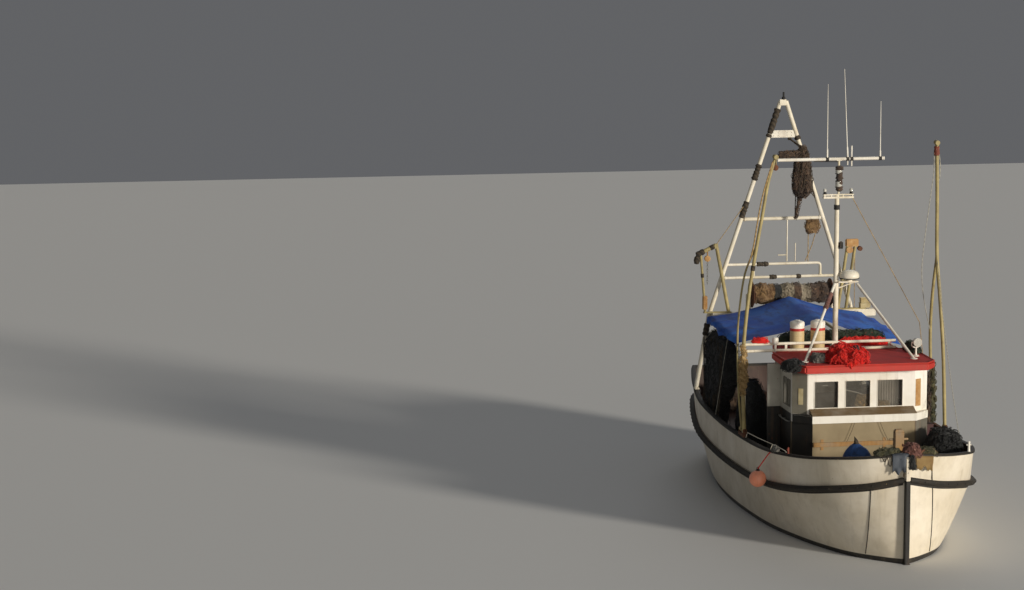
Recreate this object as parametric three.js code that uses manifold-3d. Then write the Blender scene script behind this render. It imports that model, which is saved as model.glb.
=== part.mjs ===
// Fishing trawler, about 12 m long, with its whole hull. Millimetres, +Z up.
// Bow -Y, stern +Y, port +X, starboard -X. Origin amidships on the centreline, at the waterline.
import * as THREE from "three";
import { mergeVertices } from "three/addons/utils/BufferGeometryUtils.js";
import Module from "manifold-3d";

const wasm = await Module();
wasm.setup();

// Driving dimensions
const seat = 0.3; // gap between a piece and what carries it
const plateHalf = 70; // half thickness of the keel, stem bar and sole piece
const bulwarkWall = 60;
const capOut = 25; // cap rail past the bulwark's outer face
const capIn = 30; // cap rail past its inner face
const capHigh = 45;
const rubOut = 85;
const rubHigh = 105;
const rubDown = 10; // rub rail's top below the deck edge
const wallThick = 60; // wheelhouse walls
const wallTop = 3300;
const houseHalf = 1420;
const houseAft = -100;
const roofTop = 3450;
const roofHalf = 1510;
const roofFront = -3000;
const roofAft = 50;
const mastY = -550;
const yardZ = 7350;
const gantryY = 3900; // plane of the A-frame
const beamTop = 3520;
const doorLow = 1250;
const doorHigh = 3050;
const doorStarboard = -950;
const doorPort = -270;
const pinRadius = 18;

const colours = {
  hullWhite: [0xe6e0d2, 0.55, 0],
  black: [0x2a251c, 0.7, 0],
  cream: [0xd9cfb4, 0.5, 0],
  houseWhite: [0xf1ede2, 0.5, 0],
  roofRed: [0xa8242a, 0.5, 0],
  boomTan: [0xb9a56b, 0.55, 0],
  rust: [0x7a4a2c, 0.85, 0.1],
  steel: [0x8d8d88, 0.5, 0.6],
  bronze: [0x9a7b45, 0.35, 0.9],
  glass: [0x2e3436, 0.1, 0],
  netBrown: [0x3d2f26, 0.95, 0],
  netBlack: [0x1f2020, 0.95, 0],
  netRed: [0xd8201a, 0.9, 0],
  tarpBlue: [0x2548b0, 0.6, 0],
  coral: [0xf0694a, 0.4, 0],
  timber: [0xa98d63, 0.8, 0],
};
const materials = {};
for (const [name, [color, roughness, metalness]] of Object.entries(colours)) {
  materials[name] = new THREE.MeshStandardMaterial({ color, roughness, metalness });
}

const trawler = new THREE.Group();

function add(name, geometry, material) {
  const mesh = new THREE.Mesh(geometry, materials[material]);
  mesh.name = name;
  trawler.add(mesh);
}

// Solids: joins and cuts of closed geometries
function solidOf(geometry) {
  const loose = geometry.index ? geometry.toNonIndexed() : geometry.clone();
  loose.deleteAttribute("normal");
  loose.deleteAttribute("uv");
  const merged = mergeVertices(loose, 1e-3);
  return new wasm.Manifold(
    new wasm.Mesh({
      numProp: 3,
      vertProperties: merged.attributes.position.array,
      triVerts: new Uint32Array(merged.index.array),
    }),
  );
}

function geometryOf(solid) {
  const mesh = solid.getMesh();
  const geometry = new THREE.BufferGeometry();
  geometry.setAttribute("position", new THREE.BufferAttribute(mesh.vertProperties, 3));
  geometry.setIndex(new THREE.BufferAttribute(mesh.triVerts, 1));
  return geometry;
}

function join(...geometries) {
  return geometryOf(geometries.map(solidOf).reduce((a, b) => a.add(b)));
}

// Offcuts fall away: the largest body is kept.
function cut(geometry, ...cutters) {
  const left = cutters.map(solidOf).reduce((a, b) => a.subtract(b), solidOf(geometry));
  return geometryOf(left.decompose().sort((a, b) => b.volume() - a.volume())[0]);
}

// A piece that reaches a little into what carries it is cut along it and lifted by the seat.
function seatOn(geometry, ...carriers) {
  return cut(geometry, ...carriers).translate(0, 0, seat);
}

// Plain forms
function box(x0, x1, y0, y1, z0, z1) {
  const form = new THREE.BoxGeometry(x1 - x0, y1 - y0, z1 - z0);
  return form.translate((x0 + x1) / 2, (y0 + y1) / 2, (z0 + z1) / 2);
}

function pointAlong(geometry, from, to) {
  const along = new THREE.Vector3().subVectors(to, from);
  const turn = new THREE.Quaternion().setFromUnitVectors(
    new THREE.Vector3(0, 1, 0),
    along.clone().normalize(),
  );
  const middle = new THREE.Vector3().addVectors(from, to).multiplyScalar(0.5);
  return geometry.applyQuaternion(turn).translate(middle.x, middle.y, middle.z);
}

function tube(from, to, radius, facets = 10, radiusTo = radius) {
  const a = new THREE.Vector3(...from);
  const b = new THREE.Vector3(...to);
  return pointAlong(new THREE.CylinderGeometry(radiusTo, radius, a.distanceTo(b), facets), a, b);
}

// A ring of outer and inner radius between two points: a bearing, a knuckle or an eye
function sleeve(from, to, outer, inner, facets = 16) {
  const a = new THREE.Vector3(...from);
  const b = new THREE.Vector3(...to);
  const half = a.distanceTo(b) / 2;
  const profile = [
    [inner, -half],
    [outer, -half],
    [outer, half],
    [inner, half],
    [inner, -half],
  ].map(([r, h]) => new THREE.Vector2(r, h));
  return pointAlong(new THREE.LatheGeometry(profile, facets), a, b);
}

// A turned form about the vertical at (x, y): rows of [radius, z], from the axis back to the axis
function turned(x, y, rows, facets = 12) {
  const profile = rows.map(([r, z]) => new THREE.Vector2(r, z));
  return new THREE.LatheGeometry(profile, facets).rotateX(Math.PI / 2).translate(x, y, 0);
}

// A flat outline of [x, y] points, raised from z0 to z1
function slab(points, z0, z1) {
  const outline = new THREE.Shape(points.map(([x, y]) => new THREE.Vector2(x, y)));
  const form = new THREE.ExtrudeGeometry(outline, { depth: z1 - z0, bevelEnabled: false, curveSegments: 6 });
  return form.translate(0, 0, z0);
}

// A loft through rings of [x, y, z] points, all of one length; facing out whichever way they run
function loft(rings) {
  const count = rings[0].length;
  const positions = rings.flat(2);
  const faces = [];
  for (let i = 0; i + 1 < rings.length; i += 1) {
    for (let j = 0; j < count; j += 1) {
      const a = i * count + j;
      const b = i * count + ((j + 1) % count);
      faces.push([a, b, b + count], [a, b + count, a + count]);
    }
  }
  // End faces are cut into triangles in the plane of the two axes along which the ring is widest.
  const capRing = (start, ring, flip) => {
    const spans = [0, 1, 2].map((k) => {
      const values = ring.map((point) => point[k]);
      return Math.max(...values) - Math.min(...values);
    });
    const thin = spans.indexOf(Math.min(...spans));
    const [u, v] = [(thin + 1) % 3, (thin + 2) % 3];
    const flat = ring.map((point) => new THREE.Vector2(point[u], point[v]));
    const order = THREE.ShapeUtils.isClockWise(flat) ? -1 : 1;
    for (const [a, b, c] of THREE.ShapeUtils.triangulateShape(flat, [])) {
      const forward = order > 0 !== flip;
      faces.push(forward ? [start + a, start + b, start + c] : [start + a, start + c, start + b]);
    }
  };
  capRing(0, rings[0], true);
  capRing((rings.length - 1) * count, rings.at(-1), false);
  const at = (i) => new THREE.Vector3(...positions.slice(3 * i, 3 * i + 3));
  const volume = faces.reduce((sum, [a, b, c]) => sum + at(a).dot(at(b).cross(at(c))), 0);
  const turnedFaces = volume < 0 ? faces.map(([a, b, c]) => [a, c, b]) : faces;
  const geometry = new THREE.BufferGeometry();
  geometry.setAttribute("position", new THREE.Float32BufferAttribute(positions, 3));
  geometry.setIndex(turnedFaces.flat());
  return geometry;
}

// The starboard copy of a port piece
function mirrored(geometry) {
  const copy = geometry.clone().scale(-1, 1, 1);
  const order = copy.index.array;
  for (let i = 0; i < order.length; i += 3) {
    [order[i + 1], order[i + 2]] = [order[i + 2], order[i + 1]];
  }
  return copy;
}

// Rows between the given rows, on a smooth curve through every column
function smoothed(rows, steps) {
  const fine = [];
  for (let i = 0; i + 1 < rows.length; i += 1) {
    const [p1, p2] = [rows[i], rows[i + 1]];
    const p0 = rows[Math.max(0, i - 1)];
    const p3 = rows[Math.min(rows.length - 1, i + 2)];
    for (let step = 0; step < steps; step += 1) {
      const t = step / steps;
      fine.push(
        p1.map((value, k) => {
          const before = (p2[k] - p0[k]) / 2;
          const after = (p3[k] - value) / 2;
          const bend = t * t * (3 - 2 * t);
          return value + (p2[k] - value) * bend + before * t * (1 - t) ** 2 - after * t * t * (1 - t);
        }),
      );
    }
  }
  return [...fine, rows.at(-1)];
}
const stepsBetween = 3;

// Hull: one row for each station from stem to transom
const stationRows = [
  // deckY, deckHalf, deckZ, half at 600, half at the waterline, bilgeHalf, bilgeZ, floorHalf, floorZ
  [-5840, 72, 1730, 71, 70, 60, -60, 50, -300],
  [-5620, 720, 1590, 500, 320, 170, -200, 60, -600],
  [-5100, 1370, 1465, 1060, 780, 420, -380, 90, -830],
  [-4450, 1740, 1345, 1430, 1110, 690, -500, 110, -980],
  [-3400, 2020, 1215, 1750, 1460, 1010, -620, 130, -1070],
  [-2000, 2095, 1100, 1950, 1760, 1320, -720, 150, -1130],
  [0, 2110, 1040, 2020, 1890, 1480, -760, 160, -1150],
  [1700, 2090, 1060, 1990, 1840, 1410, -720, 150, -1080],
  [3000, 2020, 1120, 1880, 1680, 1180, -560, 130, -850],
  [4400, 1800, 1220, 1620, 1380, 880, -210, 110, -400],
  [5500, 1560, 1320, 1370, 1110, 690, 0, 90, -110],
  [5880, 1440, 1360, 1240, 980, 590, 70, 80, -20],
];
const stations = smoothed(stationRows, stepsBetween);

function hullRing([y, deckHalf, deckZ, sideHalf, lineHalf, bilgeHalf, bilgeZ, floorHalf, floorZ]) {
  return [
    [0, y, floorZ],
    [floorHalf, y, floorZ],
    [bilgeHalf, y, bilgeZ],
    [lineHalf, y, Math.max(0, bilgeZ + 60)],
    [sideHalf, y, 600],
    [deckHalf, y, deckZ],
    [0, y, deckZ],
  ];
}

// Keel, stem bar and sole piece: one plate outline of [y, z], open aft for the propeller
const propellerZ = -860;
const postAft = 4100; // aft face of the sternpost
const soleTop = -1360;
const stockY = 4950;
const keelOutline = [
  [-5970, 2175],
  [-5960, 0],
  [-5860, -450],
  [-5640, -850],
  [-5250, -1120],
  [-4600, -1240],
  [5060, -1490],
  [5060, soleTop],
  [postAft, soleTop],
  [postAft, -350],
  [3300, -600],
  [-4600, -700],
  [-5500, -200],
  [-5760, 300],
  [-5780, 2175],
];

function keelPlate() {
  const outline = new THREE.Shape(keelOutline.map(([y, z]) => new THREE.Vector2(y, z)));
  const plate = new THREE.ExtrudeGeometry(outline, { depth: 2 * plateHalf, bevelEnabled: false });
  plate.rotateX(Math.PI / 2).rotateZ(Math.PI / 2);
  return plate.translate(-plateHalf, 0, 0);
}

const stockRadius = 35;
const stockTop = -400;
const hullPort = loft(stations.map(hullRing));
const hull = join(
  hullPort,
  mirrored(hullPort),
  keelPlate(),
  tube([0, stockY, stockTop], [0, stockY, 0], 65, 12),
  tube([0, postAft, propellerZ], [0, 3500, propellerZ], 85, 12),
);
add("hull", hull, "hullWhite");

// Rudder: stock between the hull's boss and the sole piece, with a plate blade
const bladeOutline = [
  [4830, soleTop + 40],
  [5420, soleTop + 60],
  [5500, -900],
  [5440, stockTop - 60],
  [4860, stockTop - 60],
];
function rudder() {
  const outline = new THREE.Shape(bladeOutline.map(([y, z]) => new THREE.Vector2(y, z)));
  const blade = new THREE.ExtrudeGeometry(outline, { depth: 56, bevelEnabled: false });
  blade.rotateX(Math.PI / 2).rotateZ(Math.PI / 2).translate(-28, 0, 0);
  const stock = tube([0, stockY, soleTop + seat], [0, stockY, stockTop - seat], stockRadius, 12);
  return join(blade, stock);
}
add("rudder", rudder(), "rust");

// Propeller: three pitched blades on a hub and shaft end
function propeller() {
  const hubY = 4400;
  const bladeShape = new THREE.Shape();
  bladeShape.moveTo(-60, 0);
  bladeShape.bezierCurveTo(-190, 160, -150, 380, 20, 380);
  bladeShape.bezierCurveTo(160, 360, 140, 140, 60, 0);
  bladeShape.closePath();
  let form = join(
    tube([0, postAft + seat, propellerZ], [0, hubY + 110, propellerZ], 48, 16),
    tube([0, hubY - 90, propellerZ], [0, hubY + 90, propellerZ], 85, 16, 70),
    tube([0, hubY + 90, propellerZ], [0, hubY + 190, propellerZ], 70, 16, 20),
  );
  for (let i = 0; i < 3; i += 1) {
    const blade = new THREE.ExtrudeGeometry(bladeShape, {
      depth: 22,
      bevelEnabled: false,
      curveSegments: 6,
    });
    blade.translate(0, 0, -11).rotateX(Math.PI / 2);
    blade.rotateZ(0.6).rotateY((i * 2 * Math.PI) / 3);
    form = join(form, blade.translate(0, hubY, propellerZ));
  }
  return form;
}
add("propeller", propeller(), "bronze");

// Bulwark, cap rail and rub rail follow the deck edge from the stem to the middle of the transom.
const edgeRows = [
  // deckY, deckHalf, deckZ, capY, capHalf, capZ
  [-5840, 70.3, 1730, -5905, 70.3, 2150],
  [-5620, 720, 1590, -5690, 800, 2075],
  [-5100, 1370, 1465, -5140, 1430, 1985],
  [-4450, 1740, 1345, -4470, 1780, 1895],
  [-3400, 2020, 1215, -3400, 2050, 1800],
  [-2000, 2095, 1100, -2000, 2115, 1705],
  [0, 2110, 1040, 0, 2130, 1650],
  [1700, 2090, 1060, 1700, 2110, 1670],
  [3000, 2020, 1120, 3000, 2050, 1725],
  [4400, 1800, 1220, 4400, 1840, 1820],
  [5500, 1560, 1320, 5510, 1610, 1910],
  [5880, 1440, 1360, 5920, 1490, 1950],
];
const transomMiddle = [5880, 0.15, 1360, 5920, 0.15, 1950];
const edge = [...smoothed(edgeRows, stepsBetween), transomMiddle];

// Outward normals in plan along a line of [x, y] points on the port side
function planNormals(line) {
  return line.map(([x, y], i) => {
    const [x0, y0] = line[Math.max(0, i - 1)];
    const [x1, y1] = line[Math.min(line.length - 1, i + 1)];
    if (i === 0) return [0, -1];
    if (i === line.length - 1) return [0, 1];
    const before = new THREE.Vector2(y - y0, x0 - x).normalize();
    const after = new THREE.Vector2(y1 - y, x - x1).normalize();
    const sum = before.clone().add(after);
    sum.multiplyScalar(2 / sum.lengthSq());
    return [sum.x, sum.y];
  });
}

const deckLine = edge.map(([y, x]) => [x, y]);
const capLine = edge.map(([, , , y, x]) => [x, y]);
const deckNormals = planNormals(deckLine);
const capNormals = planNormals(capLine);
const shifted = (line, normals, i, out, z) => [
  line[i][0] + normals[i][0] * out,
  line[i][1] + normals[i][1] * out,
  z,
];
const onDeck = (i, out, down) => shifted(deckLine, deckNormals, i, out, edge[i][2] - down);
const onCap = (i, out, up) => shifted(capLine, capNormals, i, out, edge[i][5] + up);

function bulwark() {
  const rings = edge.map((row, i) => [
    onCap(i, 0, 0),
    onCap(i, -bulwarkWall, 0),
    onDeck(i, -bulwarkWall - 16, 30),
    onDeck(i, -16, 30),
  ]);
  return seatOn(loft(rings), hull);
}

function capRail() {
  const rings = edge.map((row, i) => [
    onCap(i, capOut, 2 * seat),
    onCap(i, 0, 2 * seat),
    onCap(i, -bulwarkWall, 2 * seat),
    onCap(i, -bulwarkWall - capIn, 2 * seat),
    onCap(i, -bulwarkWall - capIn, capHigh),
    onCap(i, capOut, capHigh),
  ]);
  return loft(rings);
}

function rubRail() {
  const rings = edge.map((row, i) => [
    onDeck(i, -40, rubDown),
    onDeck(i, rubOut, rubDown),
    onDeck(i, rubOut, rubDown + rubHigh),
    onDeck(i, -40, rubDown + rubHigh),
  ]);
  const clearOfHull = 1.00015; // opens the seat all round
  return cut(loft(rings), hull).scale(clearOfHull, clearOfHull, 1);
}

const bulwarkPort = bulwark();
const capPort = capRail();
const rubPort = rubRail();
const capStarboard = mirrored(capPort);
add("bulwark_port", bulwarkPort, "hullWhite");
add("bulwark_starboard", mirrored(bulwarkPort), "hullWhite");
add("cap_rail_port", capPort, "black");
add("cap_rail_starboard", capStarboard, "black");
add("rub_rail_port", rubPort, "black");
add("rub_rail_starboard", mirrored(rubPort), "black");

// Wheelhouse
const below = 900; // walls start inside the hull and are cut along the deck
const sillLow = 2250;
const sillHigh = 2400;
const paneLow = 2520;
const paneHigh = 3070;
const sideStart = -2400;
const frontPanes = [
  // x from, x to
  [-990, -490],
  [-340, 180],
  [330, 860],
];
const sidePanes = [
  // y from, y to
  [-2340, -2120],
  [-2060, -1800],
];
const step = { y: -1150, half: 1100 }; // aft of it the house is narrower
const wing = { fore: -1540, aft: -1500, reach: 1690, top: wallTop - 20 }; // spray screens beside the house

// A folded front of [x, y] corners on the port side, mirrored and closed by its own wall
function foldedFront(outer, inner, z0, z1) {
  const side = (points, sign) => points.map(([x, y]) => [sign * x, y]);
  const line = [
    ...side(outer, -1).reverse(),
    ...outer,
    ...side(inner, 1).reverse(),
    ...side(inner, -1),
  ];
  return slab(line, z0, z1);
}

function wheelhouseFront() {
  const innerHalf = houseHalf - wallThick;
  const lower = foldedFront(
    [
      [1070, -2800],
      [houseHalf, -2480],
      [houseHalf, sideStart],
    ],
    [
      [1050, -2800 + wallThick],
      [innerHalf, -2455],
      [innerHalf, sideStart],
    ],
    below,
    sillHigh,
  );
  const upper = foldedFront(
    [
      [1120, -2600],
      [houseHalf, -2440],
      [houseHalf, sideStart],
    ],
    [
      [1105, -2600 + wallThick],
      [innerHalf, -2405],
      [innerHalf, sideStart],
    ],
    sillLow,
    wallTop,
  );
  const sill = foldedFront(
    [
      [1090, -2850],
      [houseHalf, -2530],
      [houseHalf, sideStart],
    ],
    [
      [1080, -2545],
      [innerHalf, -2410],
      [innerHalf, sideStart],
    ],
    sillLow,
    sillHigh,
  );
  const panes = frontPanes.map(([x0, x1]) => box(x0, x1, -2700, -2500, paneLow, paneHigh));
  return seatOn(cut(join(lower, upper, sill), ...panes), hull);
}

function sideWall() {
  const wall = join(
    box(houseHalf - wallThick, houseHalf, sideStart + seat, step.y, below, wallTop),
    box(step.half - wallThick, houseHalf, step.y - wallThick, step.y, below, wallTop),
    box(step.half - wallThick, step.half, step.y - wallThick, houseAft, below, wallTop),
    box(houseHalf - wallThick, wing.reach, wing.fore, wing.aft, below, wing.top),
  );
  const [x0, x1] = [houseHalf - 200, houseHalf + 100];
  const panes = sidePanes.map(([y0, y1]) => box(x0, x1, y0, y1, paneLow, paneHigh));
  return seatOn(cut(wall, ...panes), hull);
}

const doorHinge = [doorStarboard - 12, houseAft + 30];
const hingeHeights = [
  // low, high of each knuckle
  [1500, 1620],
  [2660, 2780],
];

function wheelhouseAft() {
  const half = step.half - wallThick - seat;
  const wall = box(-half, half, houseAft - wallThick, houseAft, below, wallTop);
  const doorway = box(doorStarboard, doorPort, houseAft - 200, houseAft + 100, doorLow, doorHigh);
  const pane = box(300, 900, houseAft - 200, houseAft + 100, 2450, 3000);
  const [hingeX, hingeY] = doorHinge;
  const lugs = hingeHeights.map(([low, high]) =>
    join(
      box(hingeX - 40, hingeX + 9, houseAft - 20, hingeY + 16, low - 30, low - seat),
      tube([hingeX, hingeY, low - 10], [hingeX, hingeY, high + 10], 8, 12),
    ),
  );
  return seatOn(join(cut(wall, doorway, pane), ...lugs), hull);
}

function wheelhouseDoor() {
  const gap = 6;
  const leaf = box(
    doorStarboard + gap,
    doorPort - gap,
    houseAft - wallThick + 5,
    houseAft,
    doorLow + gap,
    doorHigh - gap,
  );
  const [hingeX, hingeY] = doorHinge;
  const knuckles = hingeHeights.map(([low, high]) => {
    const strap = box(hingeX + 14, hingeX + 130, houseAft - 10, hingeY + 6, low + 10, high - 10);
    return join(sleeve([hingeX, hingeY, low], [hingeX, hingeY, high], 19, 9, 12), strap);
  });
  return join(leaf, ...knuckles);
}

function wheelhouseRoof() {
  const eave = roofHalf - houseHalf;
  const starboard = [
    // x, y from the aft edge to the front
    [-step.half - eave, roofAft],
    [-step.half - eave, step.y + 20],
    [-roofHalf, step.y + 20],
    [-roofHalf, roofFront + 300],
    [-roofHalf + 230, roofFront],
  ];
  const port = starboard.map(([x, y]) => [-x, y]).reverse();
  return slab([...starboard, ...port], wallTop + 2 * seat, roofTop);
}

const wallPort = sideWall();
const glassThick = 8;
add("wheelhouse_front", wheelhouseFront(), "houseWhite");
add("wheelhouse_port", wallPort, "houseWhite");
add("wheelhouse_starboard", mirrored(wallPort), "houseWhite");
add("wheelhouse_aft", wheelhouseAft(), "houseWhite");
add("wheelhouse_door", wheelhouseDoor(), "houseWhite");
add("wheelhouse_roof", wheelhouseRoof(), "roofRed");
const frontGlassY = -2600 + wallThick + seat;
add("front_glass", box(-1050, 920, frontGlassY, frontGlassY + glassThick, 2470, 3120), "glass");
const sideGlassX = houseHalf - wallThick - seat;
const aftGlassY = houseAft - wallThick - seat;
add("aft_glass", box(250, 950, aftGlassY - glassThick, aftGlassY, 2400, 3050), "glass");
for (const [name, sign] of [
  ["port_glass", 1],
  ["starboard_glass", -1],
]) {
  const xs = [sign * sideGlassX, sign * (sideGlassX - glassThick)].sort((a, b) => a - b);
  add(name, box(xs[0], xs[1], -2390, -1750, 2470, 3120), "glass");
}

// Helm inside the wheelhouse
const helm = { x: 350, front: -2480, aft: -2080, top: 2050 };
const helmDesk = box(helm.x - 450, helm.x + 550, helm.front, helm.aft, below, helm.top);
add("helm_console", seatOn(helmDesk, hull), "timber");

function helmWheel() {
  const z = 1850;
  const rimY = helm.aft + 130;
  const rim = new THREE.TorusGeometry(230, 16, 6, 20).rotateX(Math.PI / 2).translate(helm.x, rimY, z);
  const spokes = [
    tube([helm.x - 230, rimY, z], [helm.x + 230, rimY, z], 12, 6),
    tube([helm.x, rimY, z - 230], [helm.x, rimY, z + 230], 12, 6),
  ];
  return join(rim, ...spokes, tube([helm.x, helm.aft + seat, z], [helm.x, rimY + 25, z], 30, 10));
}
add("helm_wheel", helmWheel(), "steel");

// Mast on the roof: pole, crosstree and the post of the lights
const mastRadius = 55;
const crosstreeZ = 6580;
const legTopZ = 4790;
function mast() {
  return join(
    tube([0, mastY, roofTop + seat], [0, mastY, 6620], mastRadius, 12),
    box(-300, 350, mastY - 45, mastY + 45, crosstreeZ - 45, crosstreeZ + 45),
    tube([30, mastY, crosstreeZ], [30, mastY, yardZ - 35 - seat], 28, 8),
    turned(30, mastY, [[0, 6760], [75, 6760], [75, 6900], [0, 6900]], 10),
    turned(30, mastY, [[0, 7040], [75, 7040], [75, 7180], [0, 7180]], 10),
    box(20, 450, mastY - 130, mastY + 30, legTopZ - 30, legTopZ + 20),
  );
}
add("mast", mast(), "cream");

// Each leg stands on the roof and leans to the mast; its ends are cut along them.
const mastLegs = [
  // name, foot [x, y], head [x, y, z]
  ["mast_leg_port", [1140, -2420], [420, mastY - 100, legTopZ - 30]],
  ["mast_leg_starboard", [-1140, -2420], [-20, mastY - 40, legTopZ]],
];
const mastSolid = mast();
for (const [name, [x, y], head] of mastLegs) {
  const leg = tube([x, y, roofTop - 10], head, 30, 8);
  const foot = turned(x, y, [[0, roofTop], [70, roofTop], [70, roofTop + 15], [0, roofTop + 15]], 8);
  const wide = mastSolid.clone().translate(0, mastY, 0).scale(1.006, 1, 1).translate(0, -mastY, 0);
  const clear = cut(join(leg, foot), mastSolid.clone().translate(0, -seat, 0), wide);
  add(name, cut(clear, box(-2000, 2000, -4000, 500, roofTop - 300, roofTop + seat)), "cream");
}

// Yard with its whip aerials
const whips = [
  // foot x, top x, top z, radius
  [-220, -220, 8900, 11],
  [215, 125, 9210, 11],
  [300, 300, 7620, 16],
  [910, 910, 8530, 11],
];
function yard() {
  const parts = [tube([-1280, mastY, yardZ], [1000, mastY, yardZ], 35, 8)];
  for (const [x, topX, top, radius] of whips) {
    parts.push(tube([x, mastY, yardZ], [topX, mastY, top], radius, 6));
  }
  return join(...parts);
}
add("mast_yard", yard(), "houseWhite");

const radarZ = legTopZ + 20 + seat;
const radarRows = [[0, 0], [60, 0], [60, 40], [200, 60], [205, 190], [170, 240], [0, 250]];
const radar = radarRows.map(([r, z]) => [r, z + radarZ]);
add("radar", turned(270, mastY - 60, radar, 14), "houseWhite");

for (const [name, x] of [
  ["float_drum_inner", -470],
  ["float_drum_outer", -910],
]) {
  const z = roofTop + seat;
  const rows = [[0, 0], [130, 0], [150, 30], [150, 560], [130, 600], [60, 620], [0, 620]];
  add(name, turned(x, -900, rows.map(([r, h]) => [r, h + z]), 14), "houseWhite");
}

function searchlight() {
  const z = roofTop + seat;
  const rows = [[0, 0], [70, 0], [70, 20], [22, 40], [22, 230], [0, 230]];
  const base = turned(1270, -2120, rows.map(([r, h]) => [r, h + z]), 10);
  return join(base, tube([1270, -2260, z + 300], [1270, -2040, z + 300], 120, 14, 80));
}
add("searchlight", searchlight(), "steel");

function redNetHeap() {
  const rows = [[0, 0], [400, 0], [420, 60], [380, 170], [260, 260], [120, 310], [0, 315]];
  return turned(-310, -2530, rows.map(([r, h]) => [r, h + roofTop + seat]), 14);
}
add("red_net_heap", redNetHeap(), "netRed");

// Outrigger booms: a spar and a brace that joins it part of the way up, each on a pin of the heel
const heelY = -1100;
const eyeHalf = 55; // half the length of a foot's eye
const eyeRadius = 44;
const heelX = 2095;
const heelZ = 1850;
const heelBarTop = 1790;
const boomFootZ = heelZ + 32;
const portFeet = 430; // half the distance between the feet
const starboardFeet = 110;
const boomHead = { half: 70, radius: 52 };
const booms = [
  // name, side, half the distance between the feet, and the spar and the brace:
  // radius at the foot, radius at the end, points from the foot as x from the centreline, y, z
  ["port", 1, portFeet, [
    [38, 38, [
      [heelX, heelY - portFeet, boomFootZ], [2040, -1525, 3350], [2012, -1320, 4500],
      [2008, -1075, 5350], [2004, -1030, 6510], [1985, -1000, 7700],
    ]],
    [34, 32, [
      [heelX, heelY + portFeet, boomFootZ], [2015, -680, 3500], [1990, -850, 4470], [2008, -1060, 5330],
    ]],
  ]],
  ["starboard", -1, starboardFeet, [
    [42, 31, [
      [heelX, heelY - starboardFeet, boomFootZ], [2125, -1205, 2650], [2130, -1205, 3450],
      [2035, -1190, 4500], [1900, -1140, 5350], [1715, -1080, 6310], [1593, -1040, 6960],
      [1435, -1000, 7470],
    ]],
    [22, 20, [
      [heelX, heelY + starboardFeet, boomFootZ], [2160, -985, 2600], [2195, -985, 3580],
      [2170, -990, 4250], [2060, -1020, 5080], [1840, -1100, 5660],
    ]],
  ]],
];

// A round bar that tapers along a curve through the points
function bentTube(points, radius, radiusTo, steps, facets) {
  const curve = new THREE.CatmullRomCurve3(points.map((point) => new THREE.Vector3(...point)));
  const across = new THREE.Vector3(0, 1, 0);
  const rings = [];
  for (let i = 0; i <= steps; i += 1) {
    const t = i / steps;
    const centre = curve.getPointAt(t);
    const side = curve.getTangentAt(t).cross(across).normalize();
    const reach = radius + (radiusTo - radius) * t;
    const ring = [];
    for (let k = 0; k < facets; k += 1) {
      const angle = (2 * Math.PI * k) / facets;
      const point = centre.clone();
      point.addScaledVector(side, reach * Math.cos(angle)).addScaledVector(across, reach * Math.sin(angle));
      ring.push(point.toArray());
    }
    rings.push(ring);
  }
  return loft(rings);
}

function boom(side, footHalf, bars) {
  const x = side * heelX;
  const [headX, headY, headZ] = bars[0][2].at(-1);
  const headEnds = [-boomHead.half, boomHead.half].map((dy) => [side * headX, headY + dy, headZ]);
  const parts = [tube(...headEnds, boomHead.radius, 10)];
  for (const y of [heelY - footHalf, heelY + footHalf]) {
    const pinHole = pinRadius + 0.9;
    parts.push(sleeve([x, y - eyeHalf, heelZ], [x, y + eyeHalf, heelZ], eyeRadius, pinHole, 16));
  }
  for (const [radius, radiusTo, line] of bars) {
    parts.push(bentTube(line.map(([px, y, z]) => [side * px, y, z]), radius, radiusTo, 14, 10));
  }
  return join(...parts);
}

function boomHeel(side, footHalf) {
  const x = side * heelX;
  const cap = side > 0 ? capPort : capStarboard;
  const reach = footHalf + eyeHalf + seat;
  const parts = [box(x - 42, x + 42, heelY - reach - 60, heelY + reach + 60, 1690, heelBarTop)];
  for (const sign of [-1, 1]) {
    const face = heelY + sign * reach;
    const [y0, y1] = [face, face + sign * 30].sort((p, q) => p - q);
    parts.push(box(x - 42, x + 42, y0, y1, 1720, heelZ + 42));
    parts.push(tube([x, face - sign * 2 * eyeHalf, heelZ], [x, face + sign * 45, heelZ], pinRadius, 16));
  }
  return seatOn(join(...parts), cap);
}

for (const [name, side, footHalf, bars] of booms) {
  add("boom_" + name, boom(side, footHalf, bars), "boomTan");
  add("boom_heel_" + name, boomHeel(side, footHalf), "rust");
}

// Pipe rest across the roof, with a post at the starboard heel
function boomRestBeam() {
  const y = heelY - 10;
  const low = roofTop + 30 + seat;
  const high = low + 140;
  const parts = [
    tube([-2120, y, low], [1140, y, low], 30, 8),
    tube([-2120, y, high], [1140, y, high], 30, 8),
    tube([-2070, y, heelBarTop + 2 * seat], [-2070, y, low], 24, 8),
  ];
  for (const x of [-2070, -1200, -200, 1000]) parts.push(box(x - 25, x + 25, y - 12, y + 12, low, high));
  return join(...parts);
}
add("boom_rest_beam", boomRestBeam(), "cream");

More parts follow.
